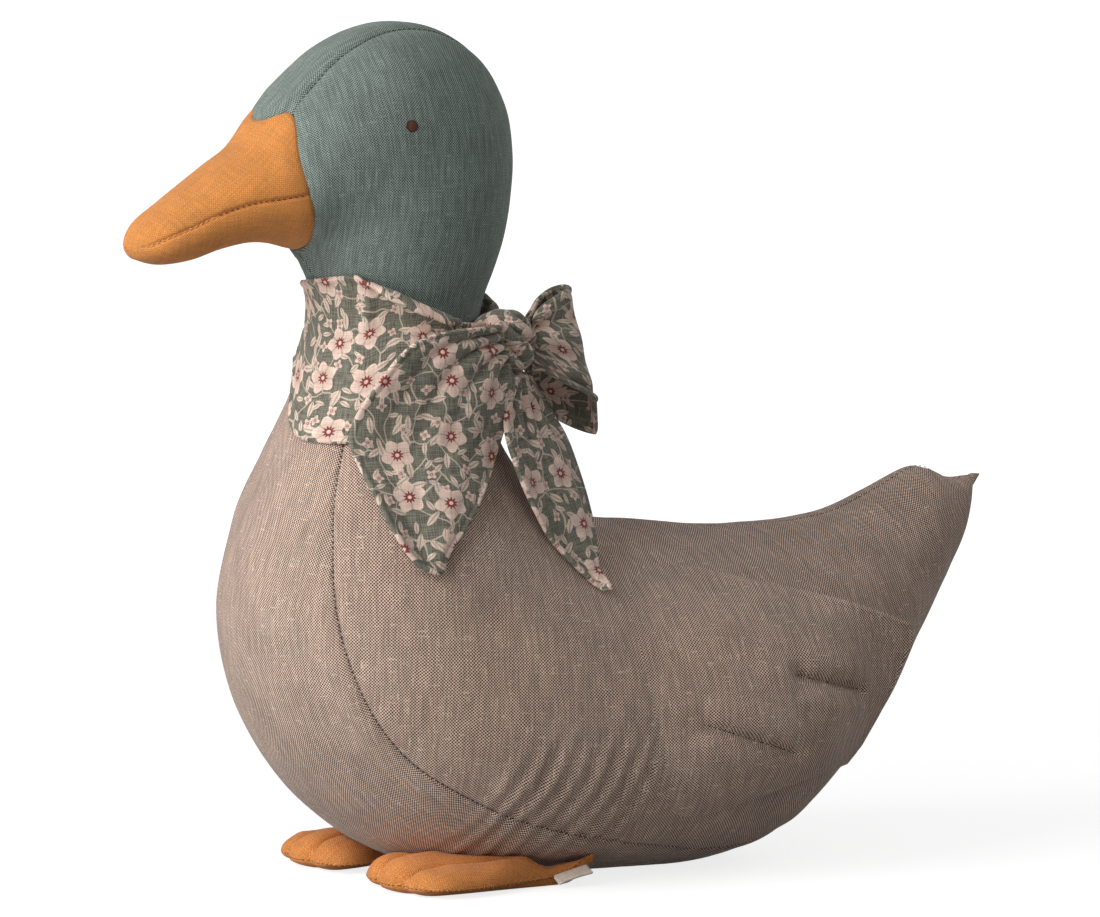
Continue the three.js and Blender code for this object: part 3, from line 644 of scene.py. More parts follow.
# Stuffed forms, lofted from a top line, a bottom line and a half width
class Loft:
    start = 0.0

    def __init__(self, stations, low_fullness=0.0):
        self.knots = np.array(stations, float).T
        self.low_fullness = low_fullness

    def point(self, s, angle):
        top_y, top_z, low_y, low_z, half = (spline(k, s) for k in self.knots)
        reach = np.cos(angle)
        share = (1 + reach) / 2
        across = half * np.sin(angle) * (1 - self.low_fullness * reach)
        return stacked(across, mix(low_y, top_y, share), mix(low_z, top_z, share))

    def half_width(self, s):
        return spline(self.knots[4], s)

    def normal(self, s, angle):
        h = 1e-4
        s = np.clip(s, self.start + h, 1 - h)
        along = self.point(s + h, angle) - self.point(s - h, angle)
        around = self.point(s, angle + h) - self.point(s, angle - h)
        return unit(np.cross(along, around))

    def skin(self, s, angle, rise):
        """A point standing rise above the form, and never below the floor."""
        place = self.point(s, angle) + self.normal(s, angle) * np.asarray(rise)[..., None]
        place[..., 2] = np.maximum(place[..., 2], np.maximum(-np.asarray(rise), 0))
        return place


def stations(shares, y, z, length, height, width):
    """Stations from shares: the top line's y and z, the bottom line's y and z, and the half width."""
    return [
        [y - top_y * length, z + top_z * height, y - low_y * length, z + low_z * height, half * width]
        for top_y, top_z, low_y, low_z, half in shares
    ]


body_station_shares = [
    [0.0025, 0.672, 0.005, 0.645, 0.016], [0.035, 0.67, 0.024, 0.557, 0.074],
    [0.08, 0.696, 0.058, 0.475, 0.123], [0.14, 0.655, 0.11, 0.357, 0.181],
    [0.2, 0.62, 0.165, 0.235, 0.258], [0.27, 0.605, 0.238, 0.125, 0.348],
    [0.3575, 0.605, 0.32, 0.033, 0.426], [0.45, 0.618, 0.42, -0.008, 0.473],
    [0.525, 0.632, 0.52, -0.01, 0.495], [0.59, 0.668, 0.6575, -0.004, 0.5],
    [0.635, 0.725, 0.7825, 0.0305, 0.485], [0.6575, 0.775, 0.885, 0.126, 0.456],
    [0.675, 0.828, 0.958, 0.275, 0.417], [0.685, 0.874, 0.989, 0.45, 0.363],
    [0.69125, 0.916, 0.976, 0.611, 0.304], [0.69375, 0.95, 0.941, 0.748, 0.25],
    [0.69125, 0.981, 0.9075, 0.87, 0.2157],
]
neck_radius = NECK_DIAMETER / 2
neck_station = [
    NECK_Y + neck_radius, NECK_HEIGHT + NECK_RISE, NECK_Y - neck_radius, NECK_HEIGHT - NECK_RISE, neck_radius,
]
body_stations = stations(body_station_shares, 0, 0, BODY_LENGTH, NECK_HEIGHT, BODY_WIDTH)
body = Loft(body_stations + [neck_station], BODY_LOW_FULLNESS)
head_station_shares = [
    [-0.3295, 0.1045, 0.3027, 0.0697, 0.401], [-0.3678, 0.195, 0.3142, 0.1463, 0.4257],
    [-0.4061, 0.3066, 0.3372, 0.1951, 0.4554], [-0.4295, 0.439, 0.3525, 0.223, 0.48],
    [-0.436, 0.583, 0.364, 0.2334, 0.495], [-0.406, 0.736, 0.3716, 0.2404, 0.5],
    [-0.302, 0.892, 0.377, 0.2439, 0.5], [-0.127, 0.985, 0.3816, 0.2474, 0.49],
    [0.069, 1, 0.3847, 0.2509, 0.47], [0.262, 0.937, 0.3877, 0.2537, 0.4406],
    [0.418, 0.827, 0.39, 0.2564, 0.406], [0.553, 0.695, 0.3923, 0.2599, 0.371],
]
head_stations = stations(head_station_shares, NECK_Y, NECK_HEIGHT, HEAD_LENGTH, HEAD_HEIGHT, HEAD_WIDTH)
head = Loft([neck_station] + head_stations)
# The last row closes the tip to a point
beak_station_shares = [
    [0.262, 0.262, 0.031, -0.369, 0.907], [0.425, 0.152, 0.213, -0.356, 0.8],
    [0.597, 0.036, 0.42, -0.389, 0.707], [0.756, -0.072, 0.615, -0.4475, 0.613],
    [0.901, -0.175, 0.81, -0.467, 0.493], [0.985, -0.285, 0.945, -0.432, 0.3],
    [1.02, -0.352, 1.018, -0.37, 0.03],
]
seam_top_y, seam_top_z, seam_low_y, seam_low_z, seam_half = head_stations[-1]
beak_y, beak_z = (seam_top_y + seam_low_y) / 2, (seam_top_z + seam_low_z) / 2
beak_stations = stations(beak_station_shares, beak_y, beak_z, BEAK_LENGTH, BEAK_LENGTH, seam_half)


class BeakOnHead(Loft):
    """The beak's form, run on over the end of the head, where s is below 0."""
    start = -0.2
    head_share = BEAK_LENGTH / HEAD_LENGTH

    def point(self, s, angle):
        s, angle = np.broadcast_arrays(np.asarray(s, float), angle)
        on_head = head.point(np.clip(1 + s * self.head_share, 0, 1), angle)
        return np.where((s < 0)[..., None], on_head, super().point(np.maximum(s, 0), angle))


beak = BeakOnHead([head_stations[-1]] + beak_stations)

# Seams that run along the forms, as angles round them
GUSSET_START = 0.2
gusset_half_degrees = [0, 14, 24, 31, 38, 46, 50, 48, 49, 50, 47, 43, 38]
mouth_degrees = [95, 90, 84, 80, 80, 84, 88]
# Up to this place on the head its gusset has only a share of its full width
NAPE_END, NAPE_SHARE = 0.35, 0.2
# The beak's seam has a corner each side: its place in degrees, its depth as a share of the head, and how
# wide it is above and below
CORNER_PLACE, CORNER_DEPTH, CORNER_ABOVE, CORNER_BELOW = 31, 0.039, 15, 27


def gusset_half(s):
    t = (s - GUSSET_START) / (1 - GUSSET_START)
    return np.where(t < 0, 0, np.radians(np.maximum(spline(gusset_half_degrees, t), 0)))


def head_seam(s):
    half = HEAD_GUSSET / 2 * mix(NAPE_SHARE, 1, ease(s, NAPE_END, 1))
    return np.arcsin(np.clip(half / head.half_width(s), 0, 1))


def mouth(s):
    return np.radians(spline(mouth_degrees, np.maximum(s, 0)))


def seam_from(base, side, seam):
    """The angles of a seam, measured from a base angle to this side."""
    return lambda s: base + side * seam(s)


def beak_seam(angle):
    """How far short of the head's end the beak's seam runs, as a share of the head."""
    off = np.degrees(np.abs(np.arctan2(np.sin(angle), np.cos(angle)))) - CORNER_PLACE
    return CORNER_DEPTH * np.where(off < 0, bell(off, CORNER_ABOVE), bell(off, CORNER_BELOW))


def constant(value):
    return lambda at: value + 0 * at


# Cloth dips into a seam and swells a little beside it
SEAM_PROFILE = ((-0.9, 0, 1.1), (-0.45, 0, 4), (0.35, 8, 5))


def puckers(points, distance, height, size, reach, seed):
    """Small puckers where a seam gathers the cloth."""
    return height * noise(points, size, seed) * np.exp(-distance / reach) * (1 - bell(distance, 1.2))


# A cloth's material, the name of its slot, and the direction of its grain
Look = namedtuple("Look", "material slot grain")


def panel(name, form, shape, span, seams, relief, ends, look):
    """One cloth panel of a stuffed form between two seams, with its relief, as a closed sheet.

    span gives the places along the form where the panel starts and ends, which may depend on the angle.
    """
    rows, columns = shape
    across_share = crowded(columns, AT_SEAMS)[None, :]
    along_share = np.linspace(0, 1, rows)[:, None]
    s = mix(*(place(0 * across_share) for place in span), along_share)
    # A seam's angle depends on the place, and where the panel ends on the angle: they settle in rounds
    for _ in range(3):
        angle = mix(seams[0](s[:, :1]), seams[1](s[:, -1:]), across_share)
        s = mix(span[0](angle), span[1](angle), along_share)
    base = form.point(s, angle)
    across, along = run_length(base, 1), run_length(base, 0)
    side = np.minimum(across, across[:, -1:] - across)
    sewn_start, sewn_finish = (0 if sewn else FAR for sewn in ends)
    end = np.minimum(along + sewn_start, along[-1:] - along + sewn_finish)
    rise = ridges(side, SEAM_PROFILE) + ridges(end, SEAM_PROFILE) + relief(base, s, side, end)
    outer, inner = form.skin(s, angle, rise), form.skin(s, angle, rise - CLOTH)
    uv = flat_pattern(base, look.grain(base))
    dress(slab(name, outer, inner, uv, look.material), "body", look.slot, name)


def stuffing(name, form, shape, span, depth):
    """The stuffing of a form, a depth inside its panels' outer faces."""
    s, angle = np.linspace(*span, shape[0])[:, None], around(shape[1])
    rings = form.skin(s, angle, -depth + 0 * (s + angle))
    uv = stacked(run_length(rings, 0), angle * 40)
    dress(tube(name, rings, uv, filling), "body", "filling", name)


def stitches(name, path, out, material, slot, size, body_name="body", sink=0.0):
    """A row of thread stitches along a path, each a small rounded dash lying in the cloth.

    size gives half of a stitch's length, width and height.
    """
    length = run_length(path, 0)
    count = int(length[-1] / STITCH_PITCH)
    at = (np.arange(count) + 0.5) * STITCH_PITCH

    def read(values, ahead=0.0):
        return np.stack([np.interp(at + ahead, length, values[:, k]) for k in range(3)], -1)

    middle, normal = read(path), unit(read(out))
    along = unit(read(path, 0.5) - read(path, -0.5))
    beside = np.cross(normal, along)
    rings, sides = 5, 6
    tip, turn = pole_to_pole(rings, 0.12), around(sides)
    local = stacked(-np.cos(tip), np.sin(tip) * np.cos(turn), np.sin(tip) * np.sin(turn)) * size
    points, faces = [], []
    for k in range(count):
        start = k * rings * sides
        points.append(local @ np.stack([along[k], beside[k], normal[k]]) + middle[k] - sink * normal[k])
        faces += grid_faces(rings, sides, start, closed=True)
        end = start + (rings - 1) * sides
        faces += [[start + j for j in range(sides)], [end + j for j in range(sides)][::-1]]
    points = np.array(points).reshape(-1, 3)
    uv = np.stack([points[:, 0] + points[:, 1], points[:, 2]], -1)
    obj = make_object(name, points, faces, material, uv)
    turn_outward(obj)
    dress(obj, body_name, slot)


def seam_path(form, span, seam, rise=-0.75):
    s = np.linspace(*span, 300)
    angle = seam(s) + 0 * s
    return form.skin(s, angle, rise + 0 * s), form.normal(s, angle)


# Body
# Drags low on the flank: where they lie at the floor, how far they reach along it and up it, how far apart
# and how high they are, and how far they lean with the height
DRAG_Y, DRAG_REACH, DRAG_TOP = -278, 52, 88
DRAG_PITCH, DRAG_HEIGHT, DRAG_LEAN = 11.0, 1.35, 0.45
# Slack where the back turns up into the tail, from its start to where it is full, and folds under the scarf
TAIL_SLACK, SCARF_FOLDS = (-120, -20), (205, 240)


def body_relief(points, s, side, end):
    x, y, z = np.moveaxis(points, -1, 0)
    rise = lumps(points, (0.9, 55, 1), (0.35, 21, 2))
    rise += puckers(points, side, height=0.7, size=11, reach=11, seed=3)
    # The belly is pulled by its weight
    inside = DRAG_REACH - np.abs(y - DRAG_Y - 0.3 * z)
    drag_zone = ease(inside, 0, 26) * ease(DRAG_TOP - z, 0, 40) * ease(z, 6, 26)
    leaning = y - DRAG_LEAN * z
    wave = np.sin(FULL * (leaning / DRAG_PITCH + 0.35 * noise(points, 30, 4)))
    rise += drag_zone * (DRAG_HEIGHT * wave + 0.5 * noise(stacked(x * 0.2, leaning, z * 0.2), 9, 7))
    rise += ease(y, *TAIL_SLACK) * (1 - ease(y, -8, 0)) * noise(points * [0.3, 0.9, 0.35], 13, 5)
    return rise + 0.8 * ease(z, *SCARF_FOLDS) * noise(points * [1, 1, 0.3], 12, 6)


left_seam, right_seam = (seam_from(math.pi, side, gusset_half) for side in (-1, 1))
whole = (constant(0.0), constant(1.0))
past_start = (constant(GUSSET_START + 0.004), constant(1.0))
chin, crown, crown_again = constant(math.pi), constant(0.0), constant(FULL)
# Whether a panel is sewn across at its start and at its end
closed_at_neck, open_tip = (False, True), (True, False)
linen_side, linen_front = (Look(body_linen, "body_linen", grain) for grain in (side_grain, front_grain))
for name, shape, span, seams, look in (
    ("body_side_left", (300, 140), whole, (crown, left_seam), linen_side),
    ("body_side_right", (300, 140), whole, (right_seam, crown_again), linen_side),
    ("breast_belly_gusset", (260, 100), past_start, (left_seam, right_seam), linen_front),
):
    panel(name, body, shape, span, seams, body_relief, closed_at_neck, look)
stuffing("body_filling", body, shape=(90, 72), span=(0.08, 0.995), depth=3.6)
for name, span, seam, size in (
    ("gusset_seam_left", (0.52, 0.985), left_seam, (0.8, 0.34, 0.34)),
    ("gusset_seam_right", (0.52, 0.985), right_seam, (0.8, 0.34, 0.34)),
    ("gusset_seam_low_left", (0.3, 0.52), left_seam, (0.55, 0.16, 0.16)),
    ("gusset_seam_low_right", (0.3, 0.52), right_seam, (0.55, 0.16, 0.16)),
    ("back_seam", (0.08, 0.3), crown, (0.7, 0.2, 0.2)),
    ("belly_seam", (0.08, 0.2), chin, (0.7, 0.2, 0.2)),
):
    stitches(name, *seam_path(body, span, seam), dark_thread, "body_linen", size)


# The rings of the tail's point: their size as a share of the form's end, and how far they lie behind it
TIP_RINGS = ((1.0, -2.0), (1.03, -0.3), (0.9, 1.2), (0.66, 2.7), (0.42, 4.2), (0.24, 5.4), (0.1, 6.2))


def tail_tip():
    """The side panels' corners, turned up into a small point at the end of the tail."""
    angle = around(48)[0]
    base = body.skin(0 * angle, angle, 0.2 + 0 * angle)
    centre, way = base.mean(0), unit(np.array([0, 1, 0.6]))
    rings = np.array([centre + (base - centre) * size + way * reach for size, reach in TIP_RINGS])
    piece = tube("tail_tip", rings, stacked(run_length(rings, 0), angle * 4), body_linen)
    dress(piece, "body", "body_linen")


tail_tip()


# Head
def head_relief(points, s, side, end):
    rise = 0.5 * noise(points, 40, 11) + puckers(points, side, height=0.35, size=9, reach=7, seed=12)
    # The beak's seam gathers the cheek
    return rise + puckers(points * [1, 0.35, 1], end, height=0.9, size=9, reach=12, seed=13)


near_head_seam, far_head_seam = (seam_from(base, -1, head_seam) for base in (0, FULL))
to_beak = (constant(0.0), lambda angle: 1 - beak_seam(angle))
teal_side, teal_front = (Look(head_linen, "head_linen", grain) for grain in (side_grain, front_grain))
for name, columns, seams, look in (
    ("head_side_left", 120, (head_seam, chin), teal_side),
    ("head_side_right", 120, (chin, far_head_seam), teal_side),
    ("head_gusset", 60, (near_head_seam, head_seam), teal_front),
):
    panel(name, head, (200, columns), to_beak, seams, head_relief, closed_at_neck, look)
stuffing("head_filling", head, shape=(60, 64), span=(0.005, 0.97), depth=3.4)
for name, seam in (("head_seam_left", head_seam), ("head_seam_right", far_head_seam)):
    stitches(name, *seam_path(head, (0.1, 0.95), seam), teal_thread, "head_linen", (0.8, 0.25, 0.25))


# Beak
def beak_relief(points, s, side, end):
    rise = 0.4 * noise(points, 26, 21) + puckers(points, side, height=0.4, size=7, reach=5, seed=22)
    # Towards the tip the mouth seam's edges stand out
    rise += 1.1 * bell(side, 1.3) * ease(s, 0.7, 0.95)
    return rise + puckers(points * [1, 0.4, 1], end, height=0.5, size=8, reach=9, seed=23)


near_mouth, far_mouth = (seam_from(base, -1, mouth) for base in (0, FULL))
from_head = (lambda angle: -beak_seam(angle) / beak.head_share, constant(1.0))
ochre = Look(beak_linen, "beak_linen", front_grain)
panel("beak_upper", beak, (140, 120), from_head, (near_mouth, mouth), beak_relief, open_tip, ochre)
panel("beak_lower", beak, (140, 80), from_head, (mouth, far_mouth), beak_relief, open_tip, ochre)
stuffing("beak_filling", beak, shape=(30, 48), span=(0.03, 0.85), depth=3.2)
for side_name, seam in (("left", mouth), ("right", far_mouth)):
    for part, span, thread in (("back", (0.03, 0.45), ochre_thread), ("tip", (0.46, 0.9), pale_thread)):
        path = seam_path(beak, span, seam, rise=-0.5)
        stitches(f"mouth_{part}_{side_name}", *path, thread, "beak_linen", (0.9, 0.32, 0.32))


# Rays that find where the stuffed forms' outer faces lie, for what rests on them
def ray_tree(points, closed=False):
    return BVHTree.FromPolygons(points.reshape(-1, 3).tolist(), grid_faces(*points.shape[:2], closed=closed))


def outer_tree(form, rows, columns):
    s, angle = np.linspace(0, 1, rows)[:, None], around(columns)
    return ray_tree(form.skin(s, angle, 0 * (s + angle)), closed=True)


def hit_from(tree, origin, direction):
    """Where a ray first meets the form, or None."""
    return tree.ray_cast(Vector(origin), Vector(direction))[0]


body_tree, head_tree = outer_tree(body, 160, 120), outer_tree(head, 90, 96)


def side_reach(y, z):
    """How far the body reaches to the side at this height and length."""
    hit = hit_from(body_tree, (FAR, y, z), (-1, 0, 0))
    return hit.x if hit else 0.0


def reach_round_neck(trees, steps):
    """How far the trees reach from the neck's axis, by the angle and the height, give or take some steps."""
    def reach(angle, z):
        out = Vector((math.cos(angle), math.sin(angle), 0))
        best = 0.0
        for step in steps:
            axis = Vector((0, NECK_Y, z + step))
            hits = [hit_from(tree, axis + out * 150, -out) for tree in trees]
            best = max([best] + [(hit - axis).dot(out) for hit in hits if hit])
        return best
    return np.vectorize(reach)


# Eyes: a small dome wound with thread
EYE_FLATNESS, STRANDS, STRAND_HEIGHT = 0.6, 6.5, 0.07


def eye(side_name, side):
    name = f"eye_{side_name}"
    out = unit(np.array([side, -0.1, 0.05]))
    up = unit(np.cross(out, [0, 1, 0]) * side)
    tip, turn = pole_to_pole(24, 0.02), around(64)
    local = stacked(np.sin(tip) * np.cos(turn), np.sin(tip) * np.sin(turn), np.cos(tip))
    # Strands cross the dome side by side
    strand = np.abs(np.sin(STRANDS * (local[..., 0] * 0.8 + local[..., 1] * 0.6)))
    swell = 1 + STRAND_HEIGHT * strand * ease(local[..., 2], -0.2, 0.3)
    rings = local * EYE_DIAMETER / 2 * swell[..., None]
    points = cad_middle(name) + rings @ np.array([np.cross(up, out), up, EYE_FLATNESS * out])
    dress(tube(name, points, rings[..., :2], eye_thread), "body", "eye_thread", name)


for side_name, side in (("left", 1), ("right", -1)):
    eye(side_name, side)

# Wings
wing_top_shares = [[0, 1], [0.315, 0.984], [0.567, 0.905], [0.787, 0.825], [1, 0.714]]
wing_low_shares = [[0.124, 0], [0.298, 0.06], [0.528, 0.15], [0.674, 0.19], [0.792, 0.214]]
WING_FRONT_Y, WING_BASE_Z = -BODY_LENGTH * 0.625, NECK_HEIGHT * 0.09
WING_RIM, THIN_RIM = 2 * CLOTH + 0.3, 0.6
MEAN_HEIGHT, MEAN_LENGTH = WING_HEIGHT * 0.8, WING_LENGTH * 0.9
# How far the wing's sewn front and the sewn part of its edges sink into the body
WING_SUNK, WING_EDGE_SUNK = 3.0, 3.2
# The tip, and its low corner still more, hangs closer to the body than stiff panels allow in CAD
WING_DROOP, CORNER_DROOP = 6, 6
CORNER_ROUND, TIP_BULGE = 0.045, 0.02
LIFT_SOFTNESS = 15
# The two quilted tucks of a wing, each from one end to the other, as (y, z)
wing_tucks = (((-150, 97), (-108, 86)), ((-207, 79), (-151, 60)))
TUCK_PROFILE = ((-4.4, 0, 1.9), (-2.0, 0, 7), (1.4, 9, 5))


def wing_outline(shares, u):
    y, z = np.array(shares).T
    return WING_FRONT_Y + WING_LENGTH * spline(y, u), WING_BASE_Z + WING_HEIGHT * spline(z, u)


def wing_seat(u, v):
    """The wing's inner side: sunk into the body at the front, on it further back, free of it at the tip."""
    from_middle = 2 * v - 1
    along = u + u ** 8 * (TIP_BULGE * (1 - from_middle ** 2) - CORNER_ROUND * np.abs(from_middle) ** 5)
    outlines = zip(wing_outline(wing_top_shares, along), wing_outline(wing_low_shares, along))
    y, z = (mix(top, low, v) for top, low in outlines)
    reach = np.vectorize(side_reach)(y, z)
    droop = WING_DROOP + CORNER_DROOP * ease(v, 0.5, 1) * ease(u, 0.5, 1)
    free = (WING_TIP_REACH - droop) * ease(u, 0, 0.8)
    sewn = np.where(from_middle < 0, 1 - ease(u, 0.06, 0.34), 1 - ease(u, 0.2, 0.62))
    sunk = WING_SUNK * (1 - ease(u, 0.02, 0.24)) + WING_EDGE_SUNK * np.abs(from_middle) ** 6 * sewn
    seated = reach + WING_CLEARANCE - sunk
    lifted = (seated + free + np.hypot(seated - free, LIFT_SOFTNESS)) / 2
    return np.stack([lifted, y, z], -1)


def soften(field, times):
    """Averages a grid of values with its neighbours."""
    for _ in range(times):
        padded = np.pad(field, 1, mode="edge")
        field = (padded[:-2, 1:-1] + padded[2:, 1:-1] + padded[1:-1, :-2] + padded[1:-1, 2:] + 4 * field) / 8
    return field


def wing_relief(points, u, v):
    edge = np.minimum(np.minimum(v, 1 - v) * MEAN_HEIGHT, (1 - u) * MEAN_LENGTH)
    rise = lumps(points, (0.9, 38, 31), (0.4, 14, 32))
    rise += puckers(points, edge, height=0.8, size=10, reach=10, seed=33)
    for start, finish in np.array(wing_tucks):
        way, place = finish - start, points[..., 1:] - start
        length = math.hypot(*way)
        t = place @ way / length ** 2
        off = np.abs(place @ [way[1], -way[0]]) / length
        rise += ease(t, -0.08, 0.1) * (1 - ease(t, 0.9, 1.08)) * ridges(off, TUCK_PROFILE)
        # A dimple at the tuck's start, with small creases that run out of it
        rise -= 2.2 * bell(t, 0.13) * bell(off, 9)
        rise += 1.2 * bell(off, 12) * bell(t + 0.04, 0.1) * noise(points * [0.3, 0.4, 1], 5, 34)
    return rise * ease(u, 0.02, 0.2)


def wadding(name, high, low, uv, keep, margin, mirror):
    """Stuffing between two faces of cloth, a margin inside them and clear of their edges."""
    way = unit((high - low).mean((0, 1)))
    half = np.maximum((high - low) @ way[:, None] / 2 - margin, 0.05) * way
    faces = [((high + low) / 2 + side * half)[keep] * mirror for side in (1, -1)]
    return slab(name, *faces, uv[keep], filling)


def wing(side_name, side):
    u, v = places((140, 90), (0, AT_SEAMS))
    seat = wing_seat(u, v)
    seat[..., 0] = soften(seat[..., 0], 12)
    height = np.maximum(1 - np.abs(2 * v - 1) ** 3, 0) ** 0.6
    rim = mix(THIN_RIM, WING_RIM, ease(u, 0.1, 0.5))
    swell = rim + (WING_THICKNESS + 1 - WING_RIM) * ease(u, -0.05, 0.6) * ease(1 - u, 0, 0.4) * height
    outer = seat.copy()
    outer[..., 0] += swell
    outer[..., 0] += wing_relief(outer, u, v) * (0.15 + 0.85 * height)
    # The top edge is turned in and stands a little proud
    outer[..., 0] += 0.9 * bell(v * MEAN_HEIGHT - 2.2, 1.6) * ease(u, 0.08, 0.3)
    outer[..., 0] = np.maximum(outer[..., 0], seat[..., 0] + rim)
    outer_low, inner_high = outer.copy(), seat.copy()
    outer_low[..., 0] -= np.minimum(CLOTH, swell / 2 - 0.05)
    inner_high[..., 0] += np.minimum(CLOTH, swell / 2 - 0.1)
    uv = flat_pattern(outer, side_grain(outer))
    body_name = f"wing_{side_name}"
    mirror = [side, 1, 1]
    keep = (slice(10, -6), slice(8, -8))
    pieces = {
        "outer": slab(f"{body_name}_outer", outer * mirror, outer_low * mirror, uv, body_linen),
        "lining": slab(f"{body_name}_lining", inner_high * mirror, seat * mirror, uv, body_linen),
        "wadding": wadding(f"{body_name}_wadding", outer_low, inner_high, uv, keep, 0.4, mirror),
    }
    for layer, piece in pieces.items():
        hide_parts(f"{body_name}_{layer}")
        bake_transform(piece)
    for number, (start, finish) in enumerate(np.array(wing_tucks, float)):
        line = np.linspace(start, finish, 40)
        near = [outer[..., 0].flat[np.argmin(((outer[..., 1:] - place) ** 2).sum(-1))] for place in line]
        path = np.column_stack([np.array(near) + 0.1, line]) * mirror
        out = np.tile([side, 0.0, 0.0], (len(path), 1))
        name = f"{body_name}_tuck_{number + 1}"
        stitches(name, path, out, dark_thread, "body_linen", (0.9, 0.3, 0.3), body_name)
    return outer


left_wing = wing("left", 1)
wing("right", -1)

# Feet
HEEL_Y = -BODY_LENGTH * 0.605
# Where the grooves between the toes lie across a foot, to both sides of its middle, and their two widths
GROOVE_PLACE, GROOVE_WIDTH, DIP_WIDTH = 0.36, 0.04, 0.13
# How much the inner toes are fuller, and how full the heel is as a share
INNER_TOE_RISE, HEEL_FULLNESS = 3.5, 0.36
# How much the waist is drawn in, and how much shorter the outer toes and narrower the toe line are, as shares
WAIST_DRAW, OUTER_SHORTER, TOES_NARROWER = 1.5, 0.1, 0.12
# The least room between a foot's two faces
FOOT_RIM = 0.6


def near_groove(v, width):
    return bell(np.abs(v) - GROOVE_PLACE, width)


def foot_plan(u, v, side=1):
    """A foot seen from above, from the heel to the toes and from its inner edge, -1, to its outer one, 1."""
    reach = FOOT_LENGTH * (1 - OUTER_SHORTER * v * v) - TOE_NOTCH * near_groove(v, DIP_WIDTH)
    reach = reach + (TOE_PUFF * (1 - 0.4 * v) if side > 0 else FAR_TOE_PUFF)
    flare = ease(u, WAIST, 0.95)
    half = mix(FOOT_HEEL - HEEL_DRAW, FOOT_WIDTH, flare) / 2 - WAIST_DRAW * bell(u - WAIST, 0.1)
    centre = mix(FOOT_CENTRE - HEEL_DRAW / 4, TOE_CENTRE, flare)
    return centre + half * v * (1 - TOES_NARROWER * u ** 6), HEEL_Y - reach * u


def rounded(t, power):
    """From 1 at the middle, t = 0, steeply down to 0 at the edge, t = 1."""
    return np.sqrt(np.maximum(1 - t ** power, 0))


def underside(x, y):
    hit = hit_from(body_tree, (x, y, -100), (0, 0, 1))
    return hit.z if hit else FAR


def foot(side_name, side):
    u, v = places((120, 130), (AT_SEAMS, AT_SEAMS))
    v = 2 * v - 1
    x, y = foot_plan(u, v, side)
    groove = TOE_GROOVE * (near_groove(v, GROOVE_WIDTH) + 0.3 * near_groove(v, DIP_WIDTH))
    groove = groove * ease(u, 0.32, 0.55) * mix(1, 0.45, ease(u, 0.86, 1))
    edge = rounded(np.abs(v), 3) * rounded(u, 9) * rounded(1 - u, 12)
    inner_toes = INNER_TOE_RISE * ease(-v, -0.35, 0.5) * ease(u, 0.35, 0.7)
    fullness = mix(HEEL_FULLNESS, 1, ease(u, WAIST, 0.42))
    top = FOOT_SEAM + 0.3 + (FOOT_THICKNESS + inner_toes - FOOT_SEAM - groove) * edge * fullness
    # The heel is pressed up against the belly, and the foot lies under it
    belly = np.vectorize(underside)(x, y) - 0.4
    pressed = mix(top, np.maximum(belly, top), bell(u, 0.13))
    top = np.minimum(np.where(belly < FAR / 2, pressed, top), belly)
    low = np.maximum((FOOT_SEAM - 0.3) * (1 - 1.5 * edge), 0)
    low = mix(low, np.maximum(top - 2 * CLOTH - 0.8, low), bell(u, 0.09))
    # The sole meets the top along the sides
    low = mix(low, np.maximum(low, top - FOOT_RIM), np.abs(v) ** 9)
    lumpy = lumps(np.stack([x, y, top], -1), (1.0, 16, 41), (0.6, 7, 42))
    top = np.minimum(top + lumpy * np.minimum(edge * 1.5, 1), belly)
    low_face, top_face = (np.stack([x * side, y, z], -1) for z in (low, np.maximum(top, low + FOOT_RIM)))
    room = np.minimum(CLOTH, (top_face - low_face)[..., 2:] / 2 - 0.1) * UP
    uv = flat_pattern(top_face, top_grain(top_face))
    body_name = f"foot_{side_name}"
    roof, ground = top_face - room, low_face + room
    for layer, faces in (("top", (top_face, roof)), ("sole", (ground, low_face))):
        name = f"{body_name}_{layer}"
        dress(slab(name, *faces, uv, foot_linen), body_name, "foot_linen", name)
    name = f"{body_name}_filling"
    stuffed = wadding(name, roof, ground, uv, (slice(14, -8), slice(10, -10)), 0.3, 1)
    dress(stuffed, body_name, "filling", name)

    middle = (top_face + low_face) / 2
    # The toes are drawn in by stitches along the grooves
    first, second = (top_face[50:-6, int(np.argmin(np.abs(v[0] - t)))] for t in (-GROOVE_PLACE, GROOVE_PLACE))
    for part, path, out, size, sink in (
        ("seam_inner", middle[6:, 0], (-side, 0.0, 0.0), (0.8, 0.25, 0.25), 0.0),
        ("seam_outer", middle[6:, -1], (side, 0.0, 0.0), (0.8, 0.25, 0.25), 0.0),
        ("seam_toes", middle[-1], (0.0, -1.0, 0.0), (0.8, 0.25, 0.25), 0.0),
        ("toe_stitches_1", first, UP, (1.0, 0.3, 0.3), 0.1),
        ("toe_stitches_2", second, UP, (1.0, 0.3, 0.3), 0.1),
    ):
        outs = np.tile(out, (len(path), 1))
        stitches(f"{body_name}_{part}", path, outs, ochre_thread, "foot_linen", size, body_name, sink)


foot("left", 1)
foot("right", -1)

